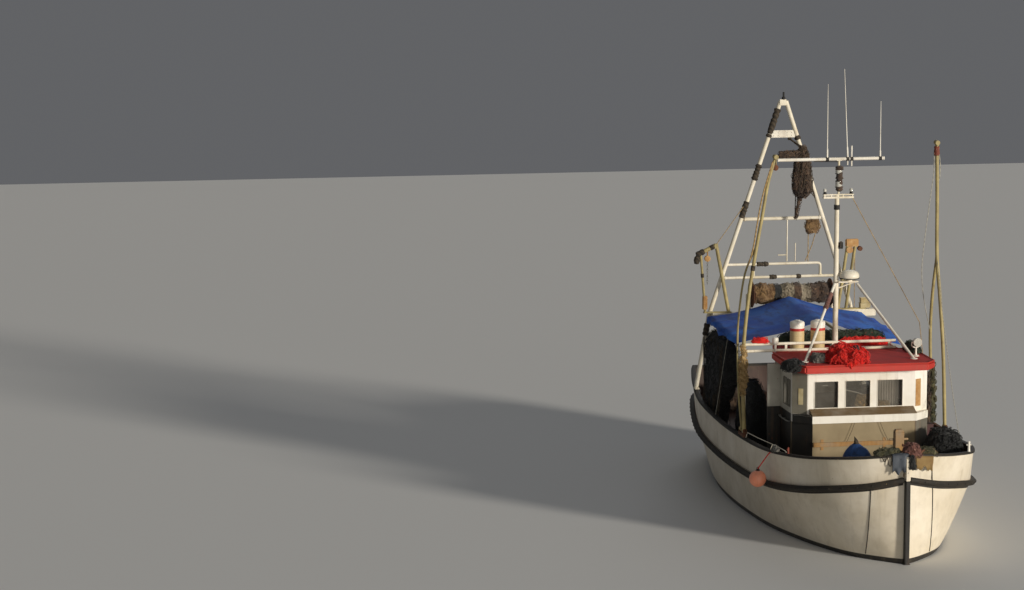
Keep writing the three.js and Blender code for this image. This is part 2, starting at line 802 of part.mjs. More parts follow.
// A-frame over the stern: each leg stands steeply to the beam and leans in from there
const apexZ = 8150;
const legFoot = [1905, gantryY, 1820];
const legKnee = [1625, gantryY, 3450];
const legHead = [54, gantryY, apexZ];
const legRadius = 48;
function legPipes(grow = 0) {
  const overlap = 5;
  const low = tube(legFoot, [legKnee[0], gantryY, legKnee[2] + overlap], legRadius + grow, 10);
  const high = tube([legKnee[0], gantryY, legKnee[2] - overlap], legHead, legRadius + grow, 10);
  return join(low, high);
}
function gantryLeg(grow = 0) {
  const foot = box(legFoot[0] - 62, legFoot[0] + 35, gantryY - 90, gantryY + 90, 1810, 1850);
  return join(legPipes(grow), foot);
}
const legForm = legPipes();
legForm.computeBoundingBox();
const headFront = legForm.boundingBox.min.y - seat; // what bears on the legs' fore side
const legsWide = [gantryLeg(2 * seat), mirrored(gantryLeg(2 * seat))];

// The apex cap is welded to the port leg and reaches over the head of the other.
const apexCap = join(
  box(-90, 60, headFront - 14, gantryY - 20, apexZ - 110, apexZ + 20),
  tube([0, headFront + 20, apexZ - 60], [0, headFront + 20, apexZ + 180], 22, 8),
);
const legStarboard = mirrored(seatOn(gantryLeg(), capPort));
const clearCap = cut(apexCap, legsWide[1], legsWide[1].clone().translate(0, 0, 1));
add("aframe_leg_port", seatOn(join(gantryLeg(), clearCap), capPort), "cream");
add("aframe_leg_starboard", legStarboard, "cream");
const headPlate = box(-330, 330, gantryY - 22, gantryY + 22, 7330, 7490);
add("aframe_head_plate", cut(headPlate, ...legsWide), "houseWhite");

const railRadius = 32;
const railLowZ = 4260;
const railHighZ = 4550;
const railTurn = 880; // where the upper rail turns down
const crossbar = tube([-910, gantryY, 5550], [910, gantryY, 5550], 40, 8);
const railLow = tube([-1340, gantryY, railLowZ], [1340, gantryY, railLowZ], railRadius, 8);
const railLowWide = tube([-1340, gantryY, railLowZ], [1340, gantryY, railLowZ], railRadius + seat, 8);
const railHigh = join(
  tube([-1250, gantryY, railHighZ], [railTurn + railRadius, gantryY, railHighZ], railRadius, 8),
  tube([railTurn, gantryY, railHighZ], [railTurn, gantryY, railLowZ], railRadius - 4, 8),
);
add("aframe_crossbar", cut(crossbar, ...legsWide), "cream");
add("aframe_rail_upper", cut(railHigh, railLowWide, ...legsWide), "cream");
add("aframe_rail_lower", cut(railLow, ...legsWide), "cream");

// Gantry beam on the fore side of the legs, with the drum's two brackets
const drumAxis = [3600, 3940]; // y, z
const drumEnds = [-760, 1040];
const bracketThick = 40;
const axleRadius = 28;
const axleGap = 0.9;
function gantryBeam() {
  const [y, z] = drumAxis;
  const parts = [box(-1590, 2100, headFront - 170, headFront, beamTop - 150, beamTop)];
  for (const x of [drumEnds[0] - bracketThick - 10, drumEnds[1] + 10]) {
    parts.push(box(x, x + bracketThick, y - 60, headFront, beamTop - 80, z - axleRadius - 2));
    parts.push(sleeve([x, y, z], [x + bracketThick, y, z], 75, axleRadius + axleGap, 16));
  }
  return join(...parts);
}
add("gantry_beam", gantryBeam(), "cream");

function netDrum() {
  const [y, z] = drumAxis;
  const [x0, x1] = drumEnds;
  const reach = bracketThick + 12;
  return join(
    tube([x0 - reach, y, z], [x1 + reach, y, z], axleRadius, 16),
    tube([x0, y, z], [x1, y, z], 230, 16),
    tube([x0, y, z], [x0 + 24, y, z], 300, 20),
    tube([x1 - 24, y, z], [x1, y, z], 300, 20),
  );
}
add("net_drum", netDrum(), "netBrown");

// Net hung up under the head plate on a rope
function hangingNet() {
  const x = 375;
  const y = 3630;
  const plateLow = 7330 - seat;
  const rows = [[0, 6090], [120, 6100], [200, 6250], [190, 6600], [130, 6950], [60, 7150], [0, 7160]];
  return join(
    turned(x, y, rows, 12),
    tube([x - 45, y, 6130], [x - 150, y, 5560], 34, 8),
    tube([x, y, 7120], [150, gantryY - 20, plateLow - 40], 22, 8),
    box(110, 200, gantryY - 35, gantryY + 25, plateLow - 60, plateLow),
  );
}
add("hanging_net", hangingNet(), "netBrown");

// Gallows: frames on the beam's two ends
const gallowsY = headFront - 85;
function gallowsStarboard() {
  return join(
    box(-1780, -1160, gallowsY - 60, gallowsY + 60, beamTop + seat, beamTop + 25),
    tube([-1740, gallowsY, beamTop + 12], [-1850, gallowsY, 4830], 28, 8),
    tube([-1890, gallowsY, 4830], [-1530, gallowsY, 5000], 45, 8),
    tube([-1500, gallowsY, 4985], [-1215, gallowsY, beamTop + 12], 40, 8),
    box(-1560, -1470, gallowsY - 50, gallowsY + 50, 4940, 5050),
  );
}
add("gallows_starboard", gallowsStarboard(), "boomTan");

function gallowsPort() {
  return join(
    box(1180, 1880, gallowsY - 70, gallowsY + 70, beamTop + seat, beamTop + 25),
    tube([1260, gallowsY, beamTop + 10], [1467, gallowsY, 5000], 35, 8),
    tube([1440, gallowsY, beamTop + 10], [1640, gallowsY, 5000], 35, 8),
    box(1410, 1705, gallowsY - 45, gallowsY + 45, 4900, 5080),
  );
}
add("gallows_port", gallowsPort(), "boomTan");

// Trawl winch on the work deck
const winchAxis = [1280, 1500]; // y, z
const winchHalf = 480;
function winchFrame() {
  const [y, z] = winchAxis;
  const parts = [];
  for (const x of [-winchHalf - 60, winchHalf + 10]) {
    parts.push(box(x, x + 50, y - 260, y + 260, below, z - 120));
    parts.push(box(x, x + 50, y - 90, y + 90, z - 150, z - axleRadius - 2));
    parts.push(sleeve([x, y, z], [x + 50, y, z], 75, axleRadius + axleGap, 16));
  }
  parts.push(box(-winchHalf - 60, winchHalf + 60, y - 260, y - 200, below, 1180));
  parts.push(box(-winchHalf - 60, winchHalf + 60, y + 200, y + 260, below, 1180));
  return seatOn(join(...parts), hull);
}
add("winch_frame", winchFrame(), "rust");

function winchDrum() {
  const [y, z] = winchAxis;
  const parts = [
    tube([-winchHalf - 150, y, z + seat], [winchHalf + 150, y, z + seat], axleRadius, 16),
    tube([-winchHalf, y, z], [winchHalf, y, z], 150, 16),
  ];
  for (const x of [-winchHalf, -12, winchHalf - 24]) parts.push(tube([x, y, z], [x + 24, y, z], 240, 18));
  return join(...parts);
}
add("winch_drum", winchDrum(), "rust");

// Fish hold hatch, its lid hinged forward
const hatch = { half: 520, fore: 1960, aft: 2840, top: 1560, wall: 40 };
function hatchCoaming() {
  const { half, fore, aft, top, wall } = hatch;
  const outer = box(-half, half, fore, aft, below, top);
  const inner = box(-half + wall, half - wall, fore + wall, aft - wall, below - 50, top + 50);
  const hingeY = fore - 35;
  const hingeZ = top + 25;
  const lugs = [-300, 300].map((x) =>
    join(
      box(x - 45, x - 5 - seat, hingeY - 14, fore + 10, top - 90, top - 5),
      box(x - 45, x - 5 - seat, hingeY - 14, hingeY + 14, top - 30, hingeZ + 12),
      tube([x - 25, hingeY, hingeZ], [x + 45, hingeY, hingeZ], 8, 12),
    ),
  );
  return seatOn(join(cut(outer, inner), ...lugs), hull);
}
add("hatch_coaming", hatchCoaming(), "steel");

function hatchLid() {
  const { half, fore, aft, top } = hatch;
  const hingeY = fore - 35;
  const hingeZ = top + 25 + seat;
  const leaf = box(-half - 10, half + 10, fore - 5, aft + 15, top + 2 * seat, top + 55);
  const knuckles = [-300, 300].map((x) =>
    join(
      sleeve([x - 5, hingeY, hingeZ], [x + 40, hingeY, hingeZ], 18, 9, 12),
      box(x - 5, x + 40, hingeY + 13, fore + 20, hingeZ - 8, hingeZ + 14),
    ),
  );
  return join(leaf, ...knuckles);
}
add("hatch_lid", hatchLid(), "timber");

// Awning: a ridge pole from the mast, with its post, and the tarpaulin over it
const ridge = { fore: 330, aft: 3230, foreZ: 3860, aftZ: 3930 };
const ridgeSlope = (ridge.aftZ - ridge.foreZ) / (ridge.aft - ridge.fore);
const ridgeAt = (y) => ridge.foreZ + ridgeSlope * (y - ridge.fore);
const tarpThick = 22;
const poleRadius = 30;
const awningRows = [
  // y, starboard edge [x, z], port edge [x, z]
  [ridge.fore, [-1840, 3440], [1800, 3270]],
  [1250, [-1900, 3500], [1780, 3430]],
  [2300, [-1910, 3540], [1740, 3500]],
  [ridge.aft, [-1820, 3520], [1640, 3530]],
];

function awningSection([y, starboardEdge, portEdge]) {
  const sag = 45;
  const top = [];
  const half = ([x, z], shares) =>
    shares.map((s) => [x * s, y, ridgeAt(y) + (z - ridgeAt(y)) * s - sag * Math.sin(Math.PI * s)]);
  top.push(...half(starboardEdge, [1, 0.66, 0.33, 0]));
  top.push(...half(portEdge, [0.33, 0.66, 1]));
  const bottom = top.map(([x, py, z]) => [x, py, z - tarpThick]).reverse();
  return [...top, ...bottom];
}
const tarp = loft(awningRows.map(awningSection));
add("tarp", tarp, "tarpBlue");

function awningRidge() {
  const drop = tarpThick + poleRadius + 2 * seat;
  const foreY = mastY + mastRadius + seat;
  const pole = tube(
    [0, foreY + 10, ridgeAt(foreY) - drop],
    [0, ridge.aft - 40, ridgeAt(ridge.aft - 40) - drop],
    poleRadius,
    8,
  );
  const postY = 3080;
  const post = tube([0, postY, below], [0, postY, ridgeAt(postY) - drop], poleRadius, 8);
  const collar = box(-50, 50, foreY, foreY + 30, ridgeAt(foreY) - drop - 50, ridgeAt(foreY) - drop + 40);
  return join(seatOn(post, hull), pole, collar);
}
add("awning_ridge", awningRidge(), "boomTan");

// Nets and covered gear: plain bulks of their size
function heap(rows) {
  return loft(
    rows.map(([x0, x1, y0, y1, z]) => [
      [x0, y0, z],
      [x1, y0, z],
      [x1, y1, z],
      [x0, y1, z],
    ]),
  );
}
// rows of x from, x to, y from, y to, z
const starboardNet = heap([
  [-1900, -1560, 2200, 3000, 1000],
  [-1920, -1560, 2150, 3020, 1900],
  [-1960, -1500, 1500, 3060, 2250],
  [-1950, -1540, 1350, 3060, 3000],
  [-1880, -1640, 1600, 2950, 3280],
]);
add("net_heap_starboard", seatOn(starboardNet, hull), "netBlack");
const roofNet = heap([
  [-1150, 1170, -430, 0, roofTop + seat],
  [-1140, 1160, -420, -10, 3520],
  [-1050, 1080, -380, -60, 3640],
  [-850, 900, -330, -120, 3690],
]);
add("net_heap_roof", roofNet, "netBlack");
const foredeckNet = heap([
  [1200, 1760, -3900, -2750, 1000],
  [1180, 1820, -3900, -2720, 1500],
  [1260, 1820, -3800, -2780, 1850],
  [1430, 1760, -3550, -2920, 2060],
]);
add("net_heap_foredeck", seatOn(foredeckNet, hull), "netBlack");

const bundleRows = [[0, 1200], [300, 1200], [310, 1500], [270, 1900], [120, 2200], [0, 2300]];
add("covered_bundle", seatOn(turned(-700, -4700, bundleRows, 10), hull), "tarpBlue");

// Foredeck fittings
function samsonPost() {
  return join(
    box(100, 290, -4675, -4525, 1200, 2430),
    tube([0, -4600, 2230], [390, -4600, 2230], 25, 8),
  );
}
add("samson_post", seatOn(samsonPost(), hull), "timber");

function anchor() {
  const z = 2235;
  return join(
    box(190, 240, -5900, -5150, z - 30, z + 30),
    tube([80, -5240, z], [350, -5240, z], 18, 8),
    box(100, 330, -5930, -5860, z - 35, z + 45),
    box(185, 245, -5880, -5790, 2160, z),
  );
}
add("anchor", seatOn(anchor(), capPort), "rust");

function ballFender() {
  const ball = new THREE.SphereGeometry(172, 16, 10).rotateX(Math.PI / 2).translate(-2330, -3300, 1270);
  const rope = tube([-2330, -3300, 1420], [-2060, -3300, 1812], 12, 6);
  return cut(join(ball, rope), capStarboard).translate(-seat, 0, -seat);
}
add("ball_fender", ballFender(), "coral");

export default trawler;
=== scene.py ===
import math
import random

import bmesh
import bpy
from mathutils import Matrix, Vector, noise


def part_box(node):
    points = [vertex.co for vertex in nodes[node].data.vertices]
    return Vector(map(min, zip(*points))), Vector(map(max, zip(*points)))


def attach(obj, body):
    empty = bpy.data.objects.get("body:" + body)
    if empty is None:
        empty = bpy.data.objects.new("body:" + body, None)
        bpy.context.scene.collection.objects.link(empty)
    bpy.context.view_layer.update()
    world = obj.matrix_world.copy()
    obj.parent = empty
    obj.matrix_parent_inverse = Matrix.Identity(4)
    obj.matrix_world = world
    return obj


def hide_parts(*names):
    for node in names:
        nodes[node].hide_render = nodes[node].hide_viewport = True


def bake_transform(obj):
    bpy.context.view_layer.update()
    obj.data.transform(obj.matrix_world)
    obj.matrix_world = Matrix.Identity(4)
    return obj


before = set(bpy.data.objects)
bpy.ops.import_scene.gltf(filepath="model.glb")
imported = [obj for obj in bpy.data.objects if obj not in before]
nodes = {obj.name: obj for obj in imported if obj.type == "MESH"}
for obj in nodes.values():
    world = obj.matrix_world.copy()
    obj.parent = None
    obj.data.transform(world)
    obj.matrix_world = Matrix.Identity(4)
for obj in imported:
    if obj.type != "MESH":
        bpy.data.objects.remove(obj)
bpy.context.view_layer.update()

scene = bpy.context.scene

# Boat frame: bow -Y, stern +Y, port +X, up +Z, waterline at z 0. Metres.

# Small tools


def toLinear(hexColour):
    channels = []
    for shift in (16, 8, 0):
        c = ((hexColour >> shift) & 255) / 255
        channels.append(c / 12.92 if c <= 0.04045 else ((c + 0.055) / 1.055) ** 2.4)
    return (*channels, 1.0)


def feed(tree, node, links):
    # links: input name or number -> a value, or the socket or node that feeds it
    for key, value in links.items():
        if isinstance(value, bpy.types.Node):
            value = value.outputs[0]
        if isinstance(value, bpy.types.NodeSocket):
            tree.links.new(value, node.inputs[key])
        else:
            node.inputs[key].default_value = value


def addNode(tree, kind, links=None, **settings):
    node = tree.nodes.new(kind)
    for key, value in settings.items():
        setattr(node, key, value)
    feed(tree, node, links or {})
    return node


def smoothRows(rows, steps):
    # rows between the given rows, on a smooth curve through every column
    fine = []
    last = len(rows) - 1
    for i in range(last):
        p0, p1, p2, p3 = rows[max(0, i - 1)], rows[i], rows[i + 1], rows[min(last, i + 2)]
        for step in range(steps):
            t = step / steps
            bend = t * t * (3 - 2 * t)
            fine.append([
                b + (c - b) * bend + (c - a) / 2 * t * (1 - t) ** 2 - (d - b) / 2 * t * t * (1 - t)
                for a, b, c, d in zip(p0, p1, p2, p3)
            ])
    return fine + [list(rows[last])]


def addRings(bm, rings, wrapped=False, paints=None):
    # skins closed rings of points, all of one length; wrapped joins the last ring to the first,
    # and paints gives the material number round the ring
    made = [[bm.verts.new(p) for p in ring] for ring in rings]
    count = len(made[0])
    for a, b in zip(made, made[1:] + made[:1] if wrapped else made[1:]):
        for j in range(count):
            k = (j + 1) % count
            face = bm.faces.new((a[j], a[k], b[k], b[j]))
            if paints:
                face.material_index = paints[j]
    if not wrapped:
        bm.faces.new(made[0])
        bm.faces.new(reversed(made[-1]))


def ringAt(centre, u, v, radius, sides):
    angles = [2 * math.pi * k / sides for k in range(sides)]
    return [centre + u * (radius * math.cos(a)) + v * (radius * math.sin(a)) for a in angles]


def addTube(bm, points, radius, sides=8):
    # radius is one number or one for each point; the rings follow the path without twist
    pts = [Vector(p) for p in points]
    radii = radius if isinstance(radius, (list, tuple)) else [radius] * len(pts)
    rings = []
    side = None
    for i, (p, r) in enumerate(zip(pts, radii)):
        along = (pts[min(i + 1, len(pts) - 1)] - pts[max(i - 1, 0)]).normalized()
        if side is None:
            side = along.orthogonal().normalized()
        side = (side - along * side.dot(along)).normalized()
        rings.append(ringAt(p, side, along.cross(side), r, sides))
    addRings(bm, rings)


def addTurned(bm, rows, centre, axis=(0, 0, 1), sides=24, hole=False):
    # rows of (radius, height) about an axis through centre, end to end, or in a loop where there is a hole
    along = Vector(axis).normalized()
    u = along.orthogonal().normalized()
    v = along.cross(u)
    rings = [ringAt(Vector(centre) + along * h, u, v, max(r, 0.0005), sides) for r, h in rows]
    addRings(bm, rings, hole)


def addRound(bm, rows, centre, axis=(0, 0, 1), sides=24):
    # a turned form with flat ends, closed to its axis
    addTurned(bm, [(0, rows[0][1]), *rows, (0, rows[-1][1])], centre, axis, sides)


def easeInto(bm, block, bevel):
    # rounds the edges of a block and adds it to the piece
    if bevel > 0:
        bmesh.ops.bevel(block, geom=block.edges[:], offset=bevel, segments=2, affect="EDGES")
    carried = bpy.data.meshes.new("block")
    block.to_mesh(carried)
    block.free()
    bm.from_mesh(carried)
    bpy.data.meshes.remove(carried)


def addBox(bm, low, high, bevel=0.0):
    block = bmesh.new()
    bmesh.ops.create_cube(block, size=1.0)
    for vert in block.verts:
        vert.co = vert.co * (Vector(high) - Vector(low)) + (Vector(low) + Vector(high)) / 2
    easeInto(bm, block, bevel)


def addPlate(bm, near, far, bevel):
    # a plate between two outlines of points
    block = bmesh.new()
    addRings(block, [near, far])
    easeInto(bm, block, bevel)


def addLoop(bm, points, radius, sides=6):
    # a closed round cord or moulding through the points
    pts = [Vector(p) for p in points]
    after = pts[1:] + pts[:1]
    normal = sum((p.cross(q) for p, q in zip(pts, after)), Vector((0, 0, 0))).normalized()
    rings = []
    for i, p in enumerate(pts):
        along = (after[i] - pts[i - 1]).normalized()
        side = along.cross(normal).normalized()
        rings.append(ringAt(p, side, side.cross(along).normalized(), radius, sides))
    addRings(bm, rings, True)


def roundedFrame(u0, u1, v0, v1, corner, steps=4):
    # corner points of a rounded rectangle, as (u, v)
    points = []
    for cu, cv, start in ((u1, v1, 0), (u0, v1, 90), (u0, v0, 180), (u1, v0, 270)):
        su = cu - corner if cu == u1 else cu + corner
        sv = cv - corner if cv == v1 else cv + corner
        for i in range(steps + 1):
            a = math.radians(start + 90 * i / steps)
            points.append((su + corner * math.cos(a), sv + corner * math.sin(a)))
    return points


def circle(centre, radius, count, u=(1, 0, 0), v=(0, 0, 1)):
    # points round a circle; u and v are its two directions
    return ringAt(Vector(centre), Vector(u), Vector(v), radius, count)


def sagging(start, end, sag, count=14):
    # points of a line that hangs between two ends
    a, b = Vector(start), Vector(end)
    points = []
    for i in range(count + 1):
        t = i / count
        p = a.lerp(b, t)
        p.z -= 4 * sag * t * (1 - t)
        points.append(p)
    return points


def throughPoints(points, steps=6):
    return [Vector(row) for row in smoothRows([list(p) for p in points], steps)]


def toMesh(name, bm):
    bmesh.ops.recalc_face_normals(bm, faces=bm.faces)
    mesh = bpy.data.meshes.new(name)
    bm.to_mesh(mesh)
    bm.free()
    return mesh


def placePiece(name, mesh, materials, body="boat", slot=None, stands=(), angle=38):
    # one finished object at the origin, riding on its body when that is given by name
    piece = bpy.data.objects.new(name, mesh)
    scene.collection.objects.link(piece)
    for material in materials:
        mesh.materials.append(material)
    mesh.polygons.foreach_set("use_smooth", [True] * len(mesh.polygons))
    mesh.set_sharp_from_angle(angle=math.radians(angle))
    if isinstance(body, str):
        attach(piece, body)
    else:
        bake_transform(piece)
    if stands:
        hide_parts(*stands)
    return piece


def makePiece(name, bm, materials, *ride, **marks):
    # ride and marks: what placePiece takes after the materials
    if not isinstance(materials, list):
        materials = [materials]
    return placePiece(name, toMesh(name, bm), materials, *ride, **marks)


def build(name, material, parts, *ride, **marks):
    # one piece from a list of forms: the maker and what it is given
    bm = bmesh.new()
    for maker, *values in parts:
        maker(bm, *values)
    return makePiece(name, bm, material, *ride, **marks)


# Geometry node tools


def startTree(name, sizes):
    # sizes: label -> (socket type, default)
    tree = bpy.data.node_groups.new(name, "GeometryNodeTree")
    tree.interface.new_socket("Geometry", in_out="INPUT", socket_type="NodeSocketGeometry")
    tree.interface.new_socket("Geometry", in_out="OUTPUT", socket_type="NodeSocketGeometry")
    for label, (kind, value) in sizes.items():
        tree.interface.new_socket(label, in_out="INPUT", socket_type=kind).default_value = value
    return tree, tree.nodes.new("NodeGroupInput").outputs


def endTree(tree, geometry, material):
    real = addNode(tree, "GeometryNodeRealizeInstances", {"Geometry": geometry})
    painted = addNode(tree, "GeometryNodeSetMaterial", {"Geometry": real, "Material": material})
    addNode(tree, "NodeGroupOutput", {0: painted})


def growPiece(name, tree, source, values, *ride, **marks):
    # runs a tree on a source mesh and keeps the result as a plain piece
    carrier = bpy.data.objects.new(name + "_source", source)
    scene.collection.objects.link(carrier)
    modifier = carrier.modifiers.new(tree.name, "NODES")
    modifier.node_group = tree
    for item in tree.interface.items_tree:
        if item.item_type == "SOCKET" and item.in_out == "INPUT" and item.name in values:
            modifier[item.identifier] = values[item.name]
    bpy.context.view_layer.update()
    evaluated = carrier.evaluated_get(bpy.context.evaluated_depsgraph_get())
    mesh = bpy.data.meshes.new_from_object(evaluated)
    mesh.name = name
    carrier.modifiers.clear()
    bpy.data.objects.remove(carrier)
    return placePiece(name, mesh, [], *ride, **marks)


def lineMesh(name, lines):
    # open lines of points as loose edges
    mesh = bpy.data.meshes.new(name)
    points = []
    edges = []
    for line in lines:
        start = len(points)
        points += [tuple(p) for p in line]
        edges += [(start + i, start + i + 1) for i in range(len(line) - 1)]
    mesh.from_pydata(points, edges, [])
    return mesh


def cordTree(name, material):
    # round cords along every edge of the source, slightly uneven
    tree, given = startTree(name, {
        "Cord Radius": ("NodeSocketFloat", 0.006),
        "Sides": ("NodeSocketInt", 5),
        "Unevenness": ("NodeSocketFloat", 0.01),
        "Seed": ("NodeSocketInt", 1),
    })
    curves = addNode(tree, "GeometryNodeMeshToCurve", {"Mesh": given["Geometry"]})
    jitter = addNode(
        tree, "FunctionNodeRandomValue", {"Seed": given["Seed"], "Min": (-1, -1, -1), "Max": (1, 1, 1)},
        data_type="FLOAT_VECTOR",
    )
    offset = addNode(tree, "ShaderNodeVectorMath", {0: jitter, "Scale": given["Unevenness"]},
                     operation="SCALE")
    moved = addNode(tree, "GeometryNodeSetPosition", {"Geometry": curves, "Offset": offset})
    section = addNode(
        tree, "GeometryNodeCurvePrimitiveCircle", {"Resolution": given["Sides"],
                                                   "Radius": given["Cord Radius"]},
    )
    cords = addNode(
        tree, "GeometryNodeCurveToMesh", {"Curve": moved, "Profile Curve": section, "Fill Caps": True},
    )
    endTree(tree, cords, material)
    return tree


def growCords(name, tree, lines, radius, uneven, seed, *ride, sides=5, **marks):
    sizes = {"Cord Radius": radius, "Sides": sides, "Unevenness": uneven, "Seed": seed}
    growPiece(name, tree, lineMesh(name, lines), sizes, *ride, **marks)


def spacedTree(name, material, shape):
    # copies of one small shape, evenly spaced along the source's lines and turned with them
    tree, given = startTree(name, {
        "Spacing": ("NodeSocketFloat", 0.3),
        "Width": ("NodeSocketFloat", 0.04),
        "Height": ("NodeSocketFloat", 0.04),
        "Length": ("NodeSocketFloat", 0.04),
    })
    curves = addNode(tree, "GeometryNodeMeshToCurve", {"Mesh": given["Geometry"]})
    points = addNode(
        tree, "GeometryNodeCurveToPoints", {"Curve": curves, "Length": given["Spacing"]}, mode="LENGTH",
    )
    if shape == "block":
        form = addNode(tree, "GeometryNodeMeshCube", {"Size": (1, 1, 1)})
    else:
        form = addNode(tree, "GeometryNodeMeshUVSphere", {"Segments": 10, "Rings": 6, "Radius": 0.5})
    size = addNode(
        tree, "ShaderNodeCombineXYZ", {"X": given["Width"], "Y": given["Height"], "Z": given["Length"]},
    )
    copies = addNode(tree, "GeometryNodeInstanceOnPoints", {
        "Points": points, "Instance": form, "Rotation": points.outputs["Rotation"], "Scale": size,
    })
    endTree(tree, copies, material)
    return tree


# Camera

cameraView = {
    "place": (-19.854, -71.659, 15.627),
    "yaw": -10.381,  # degrees from +Y
    "down": 8.596,
    "lens": 126.0,
}
cameraData = bpy.data.cameras.new("camera")
cameraData.lens = cameraView["lens"]
cameraData.sensor_width = 36.0
cameraData.clip_end = 400
camera = bpy.data.objects.new("camera", cameraData)
scene.collection.objects.link(camera)
camera.location = cameraView["place"]
camera.rotation_euler = (math.radians(90 - cameraView["down"]), 0, math.radians(cameraView["yaw"]))
scene.camera = camera
print("camera placed")

# Materials


def startMaterial(name):
    material = bpy.data.materials.new(name)
    material.use_nodes = True
    tree = material.node_tree
    shader = tree.nodes["Principled BSDF"]
    return material, tree, shader, addNode(tree, "ShaderNodeTexCoord").outputs["Object"]


def layered(tree, base, layers):
    # colours laid over a base, each by its share from 0 to 1; a colour is a hex value or a socket
    for share, colour in layers:
        under, over = [toLinear(c) if isinstance(c, int) else c for c in (base, colour)]
        base = addNode(tree, "ShaderNodeMix", {0: share, 6: under, 7: over}, data_type="RGBA").outputs[2]
    return base


def patches(tree, place, scale, low, high, seed, strength=1.0, stretch=(1, 1, 1), detail=4.0):
    # soft-edged patches, 0 to strength; stretch below 1 draws them out along that axis
    shift = (seed, seed * 0.7, seed * 1.3)
    mapped = addNode(tree, "ShaderNodeMapping", {"Vector": place, "Scale": stretch, "Location": shift})
    field = addNode(
        tree, "ShaderNodeTexNoise", {"Vector": mapped, "Scale": scale, "Detail": detail, "Roughness": 0.6},
    )
    return addNode(tree, "ShaderNodeMapRange", {
        "Value": field.outputs["Fac"], "From Min": low, "From Max": high, "To Max": strength,
    })


# What a paint looks like where its own lines say nothing else; scales in patches a metre
paintLook = {
    "fadeScale": 1.5,
    "bands": (),  # level, colour and faded colour of what lies below it
    "streak": 0x7A5A3C, "streaks": 0.35, "streakScale": 9,
    "dirt": 0x5A4E3C, "grime": 0.3, "grimeScale": 4,
    "chip": 0x6A3A20, "chipFrom": 0.66, "chipScale": 22,  # a higher chipFrom leaves fewer chips
    "rough": 0.5, "grain": 60, "bump": 0.25, "metal": 0.0,
}


def paint(name, colour, faded, **changes):
    # a painted or bare surface with broad fading, grime, vertical streaks, small chips and fine bump
    look = {**paintLook, **changes}
    material, tree, shader, place = startMaterial(name)
    fading = patches(tree, place, look["fadeScale"], 0.35, 0.68, 1)
    shade = layered(tree, colour, [(fading, faded)])
    for level, first, second in look["bands"]:
        # above the level the colour so far stays, below it the band's own takes over
        height = addNode(tree, "ShaderNodeSeparateXYZ", {0: place}).outputs["Z"]
        under = addNode(tree, "ShaderNodeMapRange", {
            "Value": height, "From Min": level + 0.002, "From Max": level - 0.002,
        })
        shade = layered(tree, shade, [(under, layered(tree, first, [(fading, second)]))])
    chipped = patches(tree, place, look["chipScale"], look["chipFrom"], look["chipFrom"] + 0.03, 14,
                      detail=6.0)
    shade = layered(tree, shade, [
        (patches(tree, place, look["streakScale"], 0.56, 0.74, 6, look["streaks"], (1, 1, 0.07)),
         look["streak"]),
        (patches(tree, place, look["grimeScale"], 0.5, 0.85, 10, look["grime"]), look["dirt"]),
        (chipped, look["chip"]),
    ])
    fine = addNode(tree, "ShaderNodeTexNoise", {
        "Vector": place, "Scale": look["grain"], "Detail": 5.0, "Roughness": 0.65,
    }).outputs["Fac"]
    gloss = addNode(tree, "ShaderNodeMapRange", {
        "Value": fine, "To Min": look["rough"] - 0.1, "To Max": min(1.0, look["rough"] + 0.16),
    })
    relief = addNode(tree, "ShaderNodeMath", {0: chipped, 1: -0.5, 2: fine}, operation="MULTIPLY_ADD")
    bump = addNode(tree, "ShaderNodeBump", {"Height": relief, "Strength": look["bump"], "Distance": 0.004})
    feed(tree, shader, {"Base Color": shade, "Roughness": gloss, "Normal": bump, "Metallic": look["metal"]})
    return material


# Alkyd marine gloss on steel plate: stained cream white, rust weeping down, with boot-top and red
# antifouling below
hullPaint = paint(
    "alkyd_gloss_hull", 0xE8DECA, 0xD6CAB2, streak=0x8A7A62, streaks=0.2, grime=0.3, dirt=0x9C8C72,
    chip=0x7A4A2C, chipFrom=0.73, rough=0.42, grain=30, bump=0.1,
    bands=[(0.1, 0x23211E, 0x2E2A25), (-0.06, 0x7C2C22, 0x632720)],
)
# Inside of the bulwark and the deck: oxide red-brown deck paint, scuffed
deckPaint = paint(
    "oxide_deck_paint", 0x5C4034, 0x4A3A30, streaks=0.2, grime=0.5, dirt=0x2E2822, chip=0x8A7A64,
    chipFrom=0.68, rough=0.72, bump=0.4,
)
innerPaint = paint(
    "brushed_maroon_paint", 0x4E3A32, 0x40342C, streak=0x2A2420, streaks=0.5, grime=0.4, rough=0.65,
)
# Tarred timber and tyre-black paint, worn brown where lines and fenders rub it
railBlack = paint(
    "tarred_rail", 0x1F1C17, 0x2A251D, grime=0.35, dirt=0x5C4C36, grimeScale=7, chip=0xA08A62,
    chipScale=8, chipFrom=0.7, rough=0.7, bump=0.4, streaks=0.1,
)
